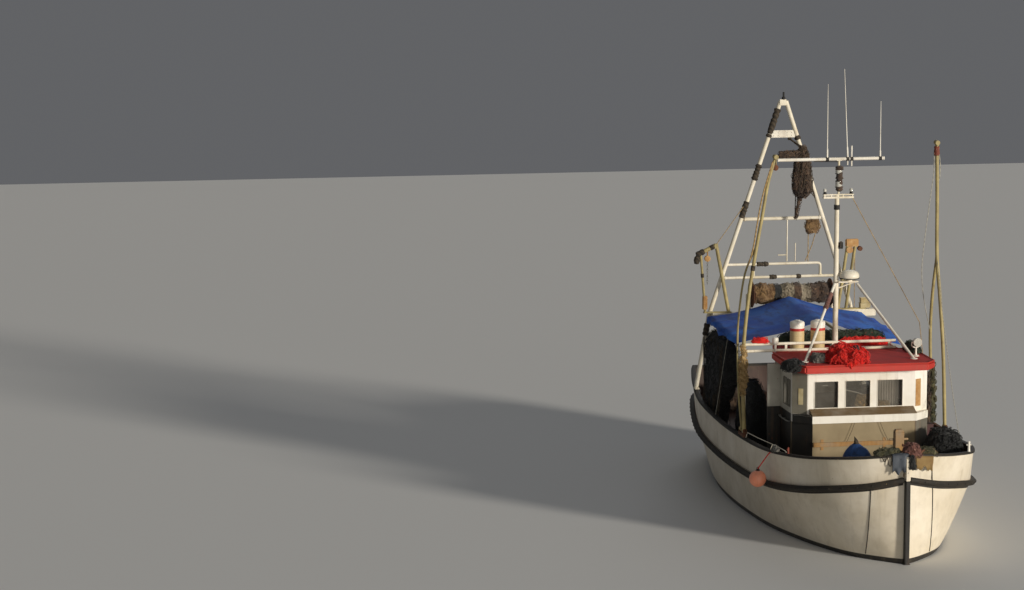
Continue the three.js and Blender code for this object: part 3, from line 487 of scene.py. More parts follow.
# White enamel on the house front. Its sides and aft wall have the same white drawn grey as painted shade,
# with black enamel below the window line on its sides
shadedSideEnamel = paint(
    "enamel_house_side_painted_shade", 0xC6C2B4, 0xACA89A, streaks=0.3, grime=0.4, rough=0.45, bump=0.08,
    bands=[(2.4, 0x1B1A17, 0x25221D)],
)
frontEnamel = paint(
    "enamel_house_front", 0xF3EFE5, 0xE6E0D0, streaks=0.2, grime=0.12, rough=0.36, bump=0.08,
    chipFrom=0.74, bands=[(2.25, 0x988869, 0x86775A)],
)
houseWhite = paint("white_enamel", 0xF0ECE0, 0xDDD6C4, streaks=0.35, grime=0.25, rough=0.4, bump=0.1)
# Red enamel of the roof: the top a touch darker than its edge, as painted shade
roofTopShaded = paint(
    "red_roof_top_painted_shade", 0xC0221C, 0xA8221E, streak=0x7A1A18, streaks=0.2, grime=0.25, dirt=0x6A201C,
    chip=0xC9A08A, chipFrom=0.74, rough=0.84, bump=0.2,
)
redEdge = paint("red_edge_enamel", 0xC82A18, 0xAE2A1C, grime=0.2, rough=0.5, chipFrom=0.74, bump=0.1)
gearCream = paint(
    "cream_gear_enamel", 0xEDE6D4, 0xD6CBAE, streak=0x96785A, streaks=0.4, streakScale=14, grime=0.25,
    chip=0x8A6A4A, chipFrom=0.7, rough=0.5,
)
boomTan = paint(
    "ochre_gear_enamel", 0xB2A26C, 0x928458, fadeScale=4, streak=0x5E4C30, streaks=0.6, streakScale=12,
    grime=0.45, chip=0x7B6240, chipFrom=0.68, rough=0.55,
)
rustySteel = paint(
    "rusted_mild_steel", 0x6E4630, 0x4A342A, streak=0x9A5A30, grime=0.5, dirt=0x2C221C, chip=0x8E6A4A,
    chipFrom=0.6, rough=0.82, bump=0.6, metal=0.15,
)
dullSteel = paint(
    "galvanised_steel", 0x9A9A94, 0x7C7C76, grime=0.4, dirt=0x5A5044, rough=0.5, metal=0.55,
    chipFrom=0.72,
)
wireSteel = paint(
    "stranded_steel_wire", 0x84807A, 0x5E564C, grime=0.4, rough=0.5, metal=0.5, grain=220, bump=0.5,
)
castBronze = paint("cast_bronze", 0x9A7B45, 0x6E6440, grime=0.4, dirt=0x3E5A4A, rough=0.4, metal=0.9)
darkRubber = paint("black_rubber", 0x1E1D1B, 0x2C2A27, grime=0.3, rough=0.7, chipFrom=0.8, bump=0.15)
whitePlastic = paint(
    "moulded_polythene", 0xEAE4D2, 0xD5CBB0, grime=0.4, dirt=0x9A8A66, rough=0.45, chipFrom=0.8,
)
drumPlastic = paint(
    "two_tone_polythene", 0xF2EEE2, 0xE6DFCC, grime=0.25, dirt=0x9A8A66, rough=0.45, chipFrom=0.8,
    bands=[(3.855, 0xC8B080, 0xD6C498)],
)
redPlastic = paint("red_polythene", 0xC22A22, 0xA02A24, grime=0.3, rough=0.45, chipFrom=0.8)
ochrePaint = paint(
    "ochre_enamel", 0xA8783C, 0xC09A64, fadeScale=9, grime=0.5, dirt=0x7A4A20, rough=0.6, chipFrom=0.7,
)
paleOchre = paint("pale_ochre_enamel", 0xC2B48C, 0xA8935E, fadeScale=6, grime=0.4, rough=0.55, chipFrom=0.7)
# the lower port chamfer's white drawn grey: painted shade
chamferShadeGrey = paint("grey_enamel_chamfer_shade", 0x716C60, 0x5E5A50, grime=0.4, rough=0.6, chipFrom=0.72)
# white trim and panels on the shaded sides, drawn grey: painted shade
shadeGrey = paint("grey_enamel_painted_shade", 0x757164, 0x625E52, grime=0.3, rough=0.6, chipFrom=0.72)
blackPaint = paint("black_enamel", 0x141310, 0x1E1C18, grime=0.2, rough=0.6, chipFrom=0.76, bump=0.1)
lockerPaint = paint("maroon_enamel", 0x4A2020, 0x3A1E1C, grime=0.4, rough=0.55, chipFrom=0.7)
# Inflated vinyl: smooth, a little faded and scuffed; its coral is drawn lighter than its own tone as painted
# light, for the sun that the bow keeps off it
vinylCoralLit = paint(
    "inflated_vinyl_painted_light", 0xFF9870, 0xFFB294, grime=0.12, dirt=0xA85A44, rough=0.35, chipFrom=0.85, bump=0.06,
)


def twine(name, dark, light, stray):
    # knotted nylon or polythene netting: matt strands, uneven in tone, with brighter stray yarns
    material, tree, shader, place = startMaterial(name)
    clumps = patches(tree, place, 7, 0.35, 0.7, 3)
    colour = layered(tree, dark, [(clumps, light), (patches(tree, place, 26, 0.62, 0.68, 8), stray)])
    strands = addNode(tree, "ShaderNodeTexVoronoi", {"Vector": place, "Scale": 90.0},
                      feature="DISTANCE_TO_EDGE")
    bump = addNode(tree, "ShaderNodeBump", {
        "Height": strands.outputs["Distance"], "Strength": 0.8, "Distance": 0.02,
    })
    feed(tree, shader, {"Base Color": colour, "Normal": bump, "Roughness": 0.9, "Sheen Weight": 0.15})
    return material


netBrown = twine("brown_nylon_net", 0x352A22, 0x66503E, 0x9A7850)
netBlack = twine("black_nylon_net", 0x121314, 0x262826, 0x3C4236)
netGreen = twine("green_nylon_net", 0x1C2A1E, 0x33442C, 0x8A2A22)
netOlive = twine("olive_nylon_net", 0x3A3C28, 0x6A6444, 0x8E7A4A)
netRed = twine("red_polythene_net", 0xD01008, 0xF8220E, 0xFF5A38)
netTan = twine("tan_nylon_net", 0x6A4E30, 0x96784E, 0xB49A78)
netTaupe = twine("taupe_nylon_net", 0x857A64, 0xA89C86, 0x5A4A38)
netPink = twine("faded_red_net", 0x5E3A30, 0x96665A, 0xC09A86)
netGrey = twine("grey_polythene_net", 0x5C5A54, 0x98948A, 0xC8C2B4)


def rope(name, dark, light, lay=0.03):
    # laid rope: three strands show as slanting bands, lay metres apart
    material, tree, shader, place = startMaterial(name)
    bands = addNode(
        tree, "ShaderNodeTexWave", {"Vector": place, "Scale": 0.16 / lay, "Distortion": 1.0},
        bands_direction="DIAGONAL",
    ).outputs["Fac"]
    colour = layered(tree, dark, [(bands, light), (patches(tree, place, 30, 0.5, 0.75, 2), light)])
    bump = addNode(tree, "ShaderNodeBump", {"Height": bands, "Strength": 0.7, "Distance": 0.004})
    feed(tree, shader, {"Base Color": colour, "Normal": bump, "Roughness": 0.88})
    return material


ropeGrey = rope("grey_polyester_rope", 0x8E8C80, 0xB8B4A4)
ropeDark = rope("tarred_rope", 0x2A251E, 0x4A4032)
ropeTan = rope("manila_rope", 0x8A7048, 0xB09464)
ropeRed = rope("red_polythene_rope", 0xB81410, 0xF0281C)


def wood(name, dark, light, across="X", plank=0.0, rough=0.75):
    # weathered boards: grain along them, and dark seams a plank apart
    material, tree, shader, place = startMaterial(name)
    stretch = {"X": (14, 1, 6), "Y": (1, 14, 6), "Z": (14, 14, 1)}[across]
    mapped = addNode(tree, "ShaderNodeMapping", {"Vector": place, "Scale": stretch})
    grain = addNode(tree, "ShaderNodeTexNoise", {"Vector": mapped, "Scale": 2.2,
                                                 "Detail": 6.0}).outputs["Fac"]
    colour = layered(tree, dark, [(grain, light), (patches(tree, place, 2.4, 0.45, 0.75, 4), 0x8C8270)])
    height = grain
    if plank:
        spread = addNode(tree, "ShaderNodeSeparateXYZ", {0: place}).outputs[across]
        share = addNode(tree, "ShaderNodeMath", {0: spread, 1: 1 / plank}, operation="MULTIPLY")
        wrapped = addNode(tree, "ShaderNodeMath", {0: share}, operation="FRACT")
        seam = addNode(tree, "ShaderNodeMath", {0: wrapped, 1: 0.06}, operation="LESS_THAN")
        colour = layered(tree, colour, [(seam, 0x1E1812)])
        height = addNode(tree, "ShaderNodeMath", {0: seam, 1: -1.5, 2: grain}, operation="MULTIPLY_ADD")
    bump = addNode(tree, "ShaderNodeBump", {"Height": height, "Strength": 0.5, "Distance": 0.004})
    feed(tree, shader, {"Base Color": colour, "Normal": bump, "Roughness": rough})
    return material


postTimber = wood("weathered_oak", 0x8A6234, 0xB48C54, "Z")
sillWood = wood("weathered_sill_board", 0x54422C, 0x8A7450, "Y")
deskTimber = wood("varnished_ply", 0x6E4A2A, 0x9A6E42, rough=0.4)
hatchTimber = wood("hatch_boards", 0x5E4830, 0x8E7452, plank=0.16)


def cloth(name, colour, faded, fold, rough=0.6):
    # woven polythene or canvas: a square weave of 12 mm, drawn four times coarser than real so that it shows
    material, tree, shader, place = startMaterial(name)
    shade = layered(tree, colour, [
        (patches(tree, place, 1.6, 0.4, 0.7, 6), faded),
        # dark streaks drawn out along the cloth: painted shade of its folds
        (patches(tree, place, 5, 0.52, 0.62, 11, 0.45, (1, 0.35, 1)), fold),
    ])
    threads = [
        addNode(
            tree, "ShaderNodeTexWave", {"Vector": place, "Scale": 0.16 / 0.012}, bands_direction=direction,
        ).outputs["Fac"]
        for direction in ("X", "Y")
    ]
    crossed = addNode(tree, "ShaderNodeMath", {0: threads[0], 1: threads[1]}, operation="ADD")
    crumple = addNode(tree, "ShaderNodeTexNoise",
                      {"Vector": place, "Scale": 5.0, "Detail": 3.0}).outputs["Fac"]
    height = addNode(tree, "ShaderNodeMath", {0: crumple, 1: 14.0, 2: crossed}, operation="MULTIPLY_ADD")
    bump = addNode(tree, "ShaderNodeBump", {"Height": height, "Strength": 0.35, "Distance": 0.002})
    feed(tree, shader, {"Base Color": shade, "Normal": bump, "Roughness": rough})
    return material


# the third colour of each cloth is the painted shade of its folds
tarpBlue = cloth("woven_polythene_tarp", 0x144EB0, 0x2C72CC, 0x0A2258, rough=0.75)
coverBlue = cloth("waxed_cover_cloth", 0x24457A, 0x3864A0, 0x0C1630)
greyCloth = cloth("faded_boat_cloth", 0x40464F, 0x525860, 0x262A32)
tanCanvas = cloth("tan_canvas", 0x745830, 0x8C7446, 0x4A381E, rough=0.8)
curtainCloth = cloth("curtain_cotton", 0xC8C0AE, 0xD8D0C0, 0x9A9484, rough=0.85)


def glassPane(name):
    # float glass, salt-filmed: dark with a clear reflection
    material, tree, shader, place = startMaterial(name)
    film = patches(tree, place, 3, 0.4, 0.75, 5)
    colour = layered(tree, 0x66625A, [(film, 0x807C74)])
    salted = addNode(tree, "ShaderNodeMapRange", {"Value": film, "To Min": 0.04, "To Max": 0.16})
    feed(tree, shader, {"Base Color": colour, "Roughness": salted, "IOR": 1.52, "Alpha": 0.38})
    return material


windowGlass = glassPane("float_glass")


def lampLens(name, colour):
    # pressed glass, ribbed across so that it glitters
    material, tree, shader, place = startMaterial(name)
    ribs = addNode(tree, "ShaderNodeTexWave", {"Vector": place, "Scale": 12.0},
                   bands_direction="Z").outputs["Fac"]
    bump = addNode(tree, "ShaderNodeBump", {"Height": ribs, "Strength": 0.4, "Distance": 0.003})
    feed(tree, shader, {
        "Base Color": toLinear(colour), "Normal": bump, "Roughness": 0.12, "Transmission Weight": 0.3,
    })
    return material


clearLens = lampLens("ribbed_lens_clear", 0xDAD8CC)
print("materials made")

# Hull: one row for each station, in metres
hullRows = [
    # y, deck half, deck z, half at z 0.6, half at the waterline, bilge half, bilge z, floor half, floor z
    (-5.84, 0.072, 1.73, 0.071, 0.07, 0.06, -0.06, 0.05, -0.3),
    (-5.62, 0.72, 1.59, 0.5, 0.32, 0.17, -0.2, 0.06, -0.6),
    (-5.1, 1.37, 1.465, 1.06, 0.78, 0.42, -0.38, 0.09, -0.83),
    (-4.45, 1.74, 1.345, 1.43, 1.11, 0.69, -0.5, 0.11, -0.98),
    (-3.4, 2.02, 1.215, 1.75, 1.46, 1.01, -0.62, 0.13, -1.07),
    (-2.00, 2.095, 1.1, 1.95, 1.76, 1.32, -0.72, 0.15, -1.13),
    (0.00, 2.11, 1.04, 2.02, 1.89, 1.48, -0.76, 0.16, -1.15),
    (1.7, 2.09, 1.06, 1.99, 1.84, 1.41, -0.72, 0.15, -1.08),
    (3.00, 2.02, 1.12, 1.88, 1.68, 1.18, -0.56, 0.13, -0.85),
    (4.4, 1.8, 1.22, 1.62, 1.38, 0.88, -0.21, 0.11, -0.4),
    (5.5, 1.56, 1.32, 1.37, 1.11, 0.69, 0.00, 0.09, -0.11),
    (5.88, 1.44, 1.36, 1.24, 0.98, 0.59, 0.07, 0.08, -0.02),
]
hullLook = {"stepsAlong": 6, "stepsRound": 4, "keelHalf": 0.07, "stemHalf": 0.045}


def hullSection(row):
    # from the keel out and up to the port deck edge
    y, deckHalf, deckZ, sideHalf, lineHalf, bilgeHalf, bilgeZ, floorHalf, floorZ = row
    shape = [(floorHalf, floorZ), (bilgeHalf, bilgeZ), (lineHalf, max(0.0, bilgeZ + 0.06)), (sideHalf, 0.6),
             (deckHalf, deckZ)]
    shape = [(0.0, floorZ)] + smoothRows(shape, hullLook["stepsRound"])
    return [(x, y, z) for x, z in shape]


def halfAt(row, z):
    # half breadth of a station at height z
    section = hullSection(row)
    for (x0, _, z0), (x1, _, z1) in zip(section[1:], section[2:]):
        if z0 <= z <= z1 and z1 > z0:
            return x0 + (x1 - x0) * (z - z0) / (z1 - z0)
    return None


def buildHull():
    bm = bmesh.new()
    rings = []
    for row in smoothRows(hullRows, hullLook["stepsAlong"]):
        port = hullSection(row)
        starboard = [(-x, y, z) for x, y, z in reversed(port[1:])]
        rings.append(starboard + port)
    count = len(rings[0])
    addRings(bm, rings, paints=[0] * (count - 1) + [1])
    makePiece("hull_shell", bm, [hullPaint, deckPaint], slot="hull_paint", stands=("hull",), angle=32)


keelOutline = [
    # y, z
    (-5.958, 0.02), (-5.86, -0.45), (-5.64, -0.85), (-5.25, -1.12), (-4.6, -1.24),
    (5.06, -1.49), (5.06, -1.36), (4.1, -1.36), (4.1, -0.35), (3.3, -0.6), (-4.6, -0.7), (-5.5, -0.2),
    (-5.76, 0.02),
]
stemOutlines = {
    "black": [(-5.968, 1.66), (-5.965, 0.9), (-5.958, 0.0), (-5.76, 0.0), (-5.76, 0.3), (-5.775, 1.66)],
    "white": [(-5.97, 2.14), (-5.966, 1.66), (-5.775, 1.66), (-5.78, 2.14)],
}


def upright(outline, half):
    # both faces of an upright plate on the centreline, from its outline of (y, z)
    return [[(x, y, z) for y, z in outline] for x in (half, -half)]


def buildKeel():
    # keel and sole piece of one thickness with the two bosses, and the stem bar over them
    build("keel_and_sole", hullPaint, [
        (addPlate, *upright(keelOutline, hullLook["keelHalf"]), 0.014),
        (addTurned, [(0.0, 0), (0.055, 0), (0.065, 0.01), (0.065, 0.4)], (0, 4.95, -0.4), (0, 0, 1), 20),
        (addTurned, [(0.0, 0), (0.075, 0), (0.085, -0.012), (0.085, -0.6)], (0, 4.1, -0.86), (0, 1, 0), 24),
    ], slot="hull_paint", angle=30)
    for name, material in (("black", blackPaint), ("white", hullPaint)):
        faces = upright(stemOutlines[name], hullLook["stemHalf"])
        build("stem_bar_" + name, material, [(addPlate, *faces, 0.01)], slot="hull_paint", angle=30)


buildHull()
buildKeel()

# The deck edge and the cap rail, from the stem to the middle of the transom
edgeRows = [
    # deck y, deck half, deck z, cap y, cap half, cap z
    (-5.84, 0.0703, 1.73, -5.905, 0.0703, 2.15),
    (-5.62, 0.72, 1.59, -5.69, 0.8, 2.075),
    (-5.1, 1.37, 1.465, -5.14, 1.43, 1.985),
    (-4.45, 1.74, 1.345, -4.47, 1.78, 1.895),
    (-3.4, 2.02, 1.215, -3.4, 2.05, 1.8),
    (-2.00, 2.095, 1.1, -2.00, 2.115, 1.705),
    (0.00, 2.11, 1.04, 0.00, 2.13, 1.65),
    (1.7, 2.09, 1.06, 1.7, 2.11, 1.67),
    (3.00, 2.02, 1.12, 3.00, 2.05, 1.725),
    (4.4, 1.8, 1.22, 4.4, 1.84, 1.82),
    (5.5, 1.56, 1.32, 5.51, 1.61, 1.91),
    (5.88, 1.44, 1.36, 5.92, 1.49, 1.95),
]
edge = smoothRows(edgeRows, 6) + [[5.88, 0.0002, 1.36, 5.92, 0.0002, 1.95]]


def planNormals(line):
    # outward directions in plan, at the port side
    out = []
    for i, (x, y) in enumerate(line):
        if i == 0:
            out.append((0.0, -1.0))
        elif i == len(line) - 1:
            out.append((0.0, 1.0))
        else:
            x0, y0 = line[i - 1]
            x1, y1 = line[i + 1]
            before = Vector((y - y0, x0 - x)).normalized()
            after = Vector((y1 - y, x - x1)).normalized()
            both = before + after
            both *= 2 / both.length_squared
            out.append((both.x, both.y))
    return out


deckLine = [(row[1], row[0]) for row in edge]
capLine = [(row[4], row[3]) for row in edge]
deckNormals = planNormals(deckLine)
capNormals = planNormals(capLine)


def onDeck(i, out, down):
    return (deckLine[i][0] + deckNormals[i][0] * out, deckLine[i][1] + deckNormals[i][1] * out,
            edge[i][2] - down)


def onCap(i, out, up):
    return (capLine[i][0] + capNormals[i][0] * out, capLine[i][1] + capNormals[i][1] * out, edge[i][5] + up)


def acrossBulwark(share, out):
    # a line on the bulwark's height: share 0 at the deck edge, 1 at the cap
    return [Vector(onDeck(i, out, 0)).lerp(Vector(onCap(i, out, 0)), share) for i in range(len(edge))]


def toSide(points, side):
    return [(side * p[0], p[1], p[2]) for p in points]


rails = {
    "wall": 0.06,
    "capProfile": [
        # out, up
        (0.025, 0.001), (-0.09, 0.001), (-0.09, 0.03), (-0.084, 0.04), (-0.07, 0.045), (0.005, 0.045),
        (0.019, 0.04), (0.025, 0.03),
    ],
    "rubProfile": [
        # out, down
        (-0.04, 0.01), (0.055, 0.01), (0.074, 0.018), (0.084, 0.036), (0.085, 0.0625), (0.084, 0.089),
        (0.074, 0.107), (0.055, 0.115), (-0.04, 0.115),
    ],
    "faceBar": [(0.08, 0.045), (0.092, 0.05), (0.096, 0.0625), (0.092, 0.075), (0.08, 0.08)],
}


def buildBulwarks():
    for name, side in (("port", 1), ("starboard", -1)):
        count = range(len(edge))
        wall = rails["wall"]
        bm = bmesh.new()
        rings = [
            toSide([onCap(i, 0, 0.0005), onCap(i, -wall, 0.0005), onDeck(i, -wall - 0.016, 0.02),
                    onDeck(i, -0.016, 0.02)], side)
            for i in count
        ]
        addRings(bm, rings, paints=[0, 1, 1, 0])
        makePiece("bulwark_plating_" + name, bm, [hullPaint, innerPaint], slot="hull_paint",
                  stands=("bulwark_" + name,), angle=40)

        bm = bmesh.new()
        addRings(bm, [toSide([onCap(i, out, up) for out, up in rails["capProfile"]], side) for i in count])
        makePiece("cap_rail_timber_" + name, bm, railBlack, slot="rail_black", stands=("cap_rail_" + name,),
                  angle=50)

        bm = bmesh.new()
        addRings(bm, [toSide([onDeck(i, out, down) for out, down in rails["rubProfile"]],
                             side) for i in count])
        makePiece("rub_rail_timber_" + name, bm, railBlack, slot="rail_black", stands=("rub_rail_" + name,),
                  angle=50)

        bm = bmesh.new()
        addRings(bm, [toSide([onDeck(i, out, down) for out, down in rails["faceBar"]],
                             side) for i in count[2:-1]])
        makePiece("rub_rail_face_bar_" + name, bm, railBlack, slot="rusty_steel", angle=50)

        # black band on the plating, right under the rail: painted shadow of the rail
        bm = bmesh.new()
        shell = smoothRows(hullRows, hullLook["stepsAlong"])
        rings = []
        for i in count[:-1]:
            ring = []
            for out, down in ((-0.02, 0.1), (0.01, 0.1), (0.01, 0.165), (-0.02, 0.165)):
                x = halfAt(shell[i], edge[i][2] - down)
                ring.append((side * (x + capNormals[i][0] * out), edge[i][0] + capNormals[i][1] * out,
                             edge[i][2] - down))
            rings.append(ring)
        addRings(bm, rings)
        makePiece("rail_shadow_band_" + name, bm, railBlack, slot="rail_black", angle=50)


buildBulwarks()

# Bulwark stays and the bolts of the rub rail repeat along the deck edge.
stayLook = {"Spacing": 0.55, "Width": 0.11, "Height": 0.012, "Length": 0.34}
stayTree = spacedTree("bulwark_stays", innerPaint, "block")
boltTree = spacedTree("rail_bolts", railBlack, "ball")
for sideName, side in (("port", 1), ("starboard", -1)):
    inner = [p for p in acrossBulwark(0.42, -0.11) if -4.6 < p.y < 5.3 and abs(p.x) > 0.4]
    growPiece("bulwark_stays_" + sideName, stayTree, lineMesh("stays", [toSide(inner, side)]),
              stayLook, slot="hull_paint")
    bolts = [onDeck(i, 0.094, 0.0625) for i in range(3, len(edge) - 2)]
    growPiece("rub_rail_bolts_" + sideName, boltTree, lineMesh("bolts", [toSide(bolts, side)]),
              {"Spacing": 0.3, "Width": 0.034, "Height": 0.034, "Length": 0.034}, slot="rusty_steel")


bowSeams = {1: [(1.93, 0.531), (1.4, 0.579), (0.64, 0.613), (0.12, 0.63)], -1: [(1.5, 0.66), (0.12, 0.66)]}


def bowPoint(x, z):
    # where the plating lies at this distance from the centreline and height, near the bow
    for i in range(len(edge) - 1):
        a, b = edge[i], edge[i + 1]
        if a[1] <= x < b[1] and z > a[2]:
            t = (x - a[1]) / (b[1] - a[1])
            deckY, deckZ = a[0] + (b[0] - a[0]) * t, a[2] + (b[2] - a[2]) * t
            capY, capZ = a[3] + (b[3] - a[3]) * t, a[5] + (b[5] - a[5]) * t
            return deckY + (capY - deckY) * (z - deckZ) / (capZ - deckZ)
    fine = smoothRows(hullRows, 12)
    for before, after in zip(fine, fine[1:]):
        xa, xb = halfAt(before, z), halfAt(after, z)
        if xa is not None and xb is not None and xa <= x < xb:
            return before[0] + (after[0] - before[0]) * (x - xa) / (xb - xa)
    return None


def buildHullTrim():
    # the plate seams down the bow
    bm = bmesh.new()
    for side, line in bowSeams.items():
        for (z0, x0), (z1, x1) in zip(line, line[1:]):
            points = []
            for k in range(9):
                x, z = x0 + (x1 - x0) * k / 8, z0 + (z1 - z0) * k / 8
                y = bowPoint(x, z)
                if y is not None:
                    points.append((side * x, y - 0.003, z))
            if len(points) > 1:
                addTube(bm, points, 0.01, 6)
    makePiece("bow_plate_seams", bm, railBlack, slot="rail_black")


buildHullTrim()
print("hull and rails done")

# Rudder and propeller
rudderLook = {"outline": [(4.83, -1.32), (5.42, -1.3), (5.47, -1.1), (5.5, -0.9), (5.48, -0.66),
                          (5.44, -0.46), (4.86, -0.46)]}


def buildRudder():
    bm = bmesh.new()
    rings = []
    for x, inset in ((-0.028, 0.02), (-0.02, 0.0), (0.02, 0.0), (0.028, 0.02)):
        middleY, middleZ = 5.15, -0.88
        rings.append([
            (x, y + (inset if y < middleY else -inset), z + (inset if z < middleZ else -inset))
            for y, z in rudderLook["outline"]
        ])
    addRings(bm, rings)
    addTube(bm, [(0, 4.95, -1.3597), (0, 4.95, -0.4003)], 0.035, 16)
    for z in (-1.1, -0.66):
        addBox(bm, (-0.036, 4.97, z - 0.02), (0.036, 5.4, z + 0.02), 0.006)
    makePiece("rudder_blade", bm, hullPaint, "rudder", "rusty_steel", ("rudder",))


def buildPropeller():
    bm = bmesh.new()
    hubY, hubZ = 4.4, -0.86
    addTurned(bm, [(0.0, 0), (0.048, 0), (0.048, 0.21)], (0, 4.1003, hubZ), (0, 1, 0), 24)
    addTurned(
        bm, [(0.0, -0.09), (0.078, -0.09), (0.085, -0.08), (0.082, 0.0), (0.07, 0.09), (0.055, 0.14),
             (0.02, 0.185), (0.0, 0.19)],
        (0, hubY, hubZ), (0, 1, 0), 24,
    )
    # each blade: sections from root to tip of (radius, chord, pitch angle in degrees, thickness)
    sections = [(0.06, 0.13, 62, 0.03), (0.14, 0.19, 48, 0.024), (0.24, 0.24, 36, 0.016),
                (0.32, 0.21, 29, 0.011), (0.375, 0.1, 25, 0.006)]
    for blade in range(3):
        turn = Matrix.Rotation(2 * math.pi * blade / 3, 3, "Y")
        rings = []
        for r, chord, pitch, thick in sections:
            a = math.radians(pitch)
            ring = []
            for u, v in ((-0.5, 0), (-0.25, 0.5), (0.1, 0.55), (0.4, 0.25), (0.5, 0), (0.4, -0.25),
                         (0.1, -0.4), (-0.25, -0.4)):
                x, y = u * chord, v * thick
                pitched = Vector((x * math.cos(a) - y * math.sin(a), x * math.sin(a) + y * math.cos(a), r))
                ring.append(turn @ pitched + Vector((0, hubY, hubZ)))
            rings.append(ring)
        addRings(bm, rings)
    makePiece("propeller_casting", bm, castBronze, "propeller", "bronze", ("propeller",), angle=50)


buildRudder()
buildPropeller()

# Wheelhouse: the walls are the frame's own, with their finishes
def dress(name, *materials):
    # a node that is shown as it is gets its finish
    data = nodes[name].data
    data.materials.clear()
    for material in materials:
        data.materials.append(material)


dress("wheelhouse_front", frontEnamel)
dress("wheelhouse_port", shadedSideEnamel)
dress("wheelhouse_starboard", shadedSideEnamel)
dress("wheelhouse_aft", shadedSideEnamel)
for pane in ("front_glass", "port_glass", "starboard_glass", "aft_glass"):
    dress(pane, windowGlass)

house = {
    "half": 1.42, "front": -2.6, "aft": -0.1, "roofLow": 3.3006, "roofTop": 3.45,
    "paneLow": 2.52, "paneHigh": 3.07, "frame": 0.009,
    "frontPanes": [(-0.99, -0.49), (-0.34, 0.18), (0.33, 0.86)],
    "sidePanes": [(-2.34, -2.12), (-2.06, -1.8)],
}
roofSeat = house["roofTop"] + 0.0003  # what stands on the roof starts here


def buildWindowTrim():
    frames = bmesh.new()
    low, high = house["paneLow"], house["paneHigh"]
    for x0, x1 in house["frontPanes"]:
        outline = roundedFrame(x0, x1, low, high, 0.016, 2)
        addLoop(frames, [(u, house["front"] - 0.002, v) for u, v in outline], house["frame"])
    sideFrames = bmesh.new()
    for y0, y1 in house["sidePanes"]:
        outline = roundedFrame(y0, y1, low, high, 0.016, 2)
        for side in (1, -1):
            addLoop(sideFrames, [(side * (house["half"] + 0.002), u, v) for u, v in outline],
                    house["frame"])
    outline = roundedFrame(0.306, 0.894, 2.456, 2.994, 0.03, 3)
    addLoop(frames, [(u, house["aft"] + 0.002, v) for u, v in outline], house["frame"])
    makePiece("window_frames", frames, houseWhite, slot="house_white")
    # the side frames are the white trim drawn grey: painted shade
    makePiece("window_frames_sides", sideFrames, shadeGrey, slot="house_white")

    # the narrow corner lights, painted over; black and grey plates under them. On the starboard corner a
    # pale strip is painted reflection on its glass, over a grey plate of painted shade
    def facing(a, b, lift):
        # a point (share along the chamfer, height) on the line from a to b, in plan
        out = Vector((b[1] - a[1], a[0] - b[0])).normalized()
        out = -out if out.y > 0 else out
        return lambda t, v, more=0.0: (
            a[0] + (b[0] - a[0]) * t + out.x * (lift + more),
            a[1] + (b[1] - a[1]) * t + out.y * (lift + more), v,
        )

    def plate(name, material, slot, side, fore, aft, u0, u1, v0, v1, proud=0.0005):
        at = facing((side * fore[0], fore[1]), (side * aft[0], aft[1]), proud)
        bm = bmesh.new()
        corners = ((u0, v0), (u1, v0), (u1, v1), (u0, v1))
        addRings(bm, [[at(u, v, lift) for u, v in corners] for lift in (0.0, 0.008)])
        makePiece(name, bm, material, slot=slot)

    upper = ((1.12, -2.6), (1.42, -2.44))
    lower = ((1.07, -2.8), (1.42, -2.48))
    ledge = ((1.09, -2.85), (1.42, -2.53))
    plate("corner_shade_panel_starboard", shadeGrey, "house_white", -1, *upper, 0.06, 0.98, 2.41, 3.295)
    plate("corner_glint_starboard", paleOchre, "boom_tan", -1, *upper, 0.3, 0.58, 2.6, 2.93, 0.009)
    plate("corner_light_port", ochrePaint, "boom_tan", 1, *upper, 0.05, 0.46, 2.5, 3.06)
    plate("chamfer_plate_starboard", blackPaint, "rail_black", -1, *lower, 0.0, 1.0, 1.25, 2.249)
    plate("ledge_plate_starboard", blackPaint, "rail_black", -1, *ledge, 0.0, 1.0, 2.252, 2.396)
    # the grey plate on the lower port chamfer is painted shade
    plate("chamfer_shade_plate_port", chamferShadeGrey, "house_white", 1, *lower, 0.0, 1.0, 1.25, 2.249)
    build("ledge_top_starboard", blackPaint, [
        (addRings, [[(-x, y, z) for x, y in ((1.096, -2.855), (1.42, -2.54), (1.42, -2.446),
                                             (1.125, -2.603))] for z in (2.4005, 2.405)]),
    ], slot="rail_black")
    # the weathered board that slopes from the panes down to the ledge
    outline = [(-2.603, 2.402), (-2.603, 2.5), (-2.606, 2.513), (-2.852, 2.416), (-2.852, 2.403)]
    build("sill_board", sillWood, [(addRings, [[(x, y, z) for y, z in outline] for x in (-1.09, 1.09)])],
          slot="timber", angle=30)


buildWindowTrim()


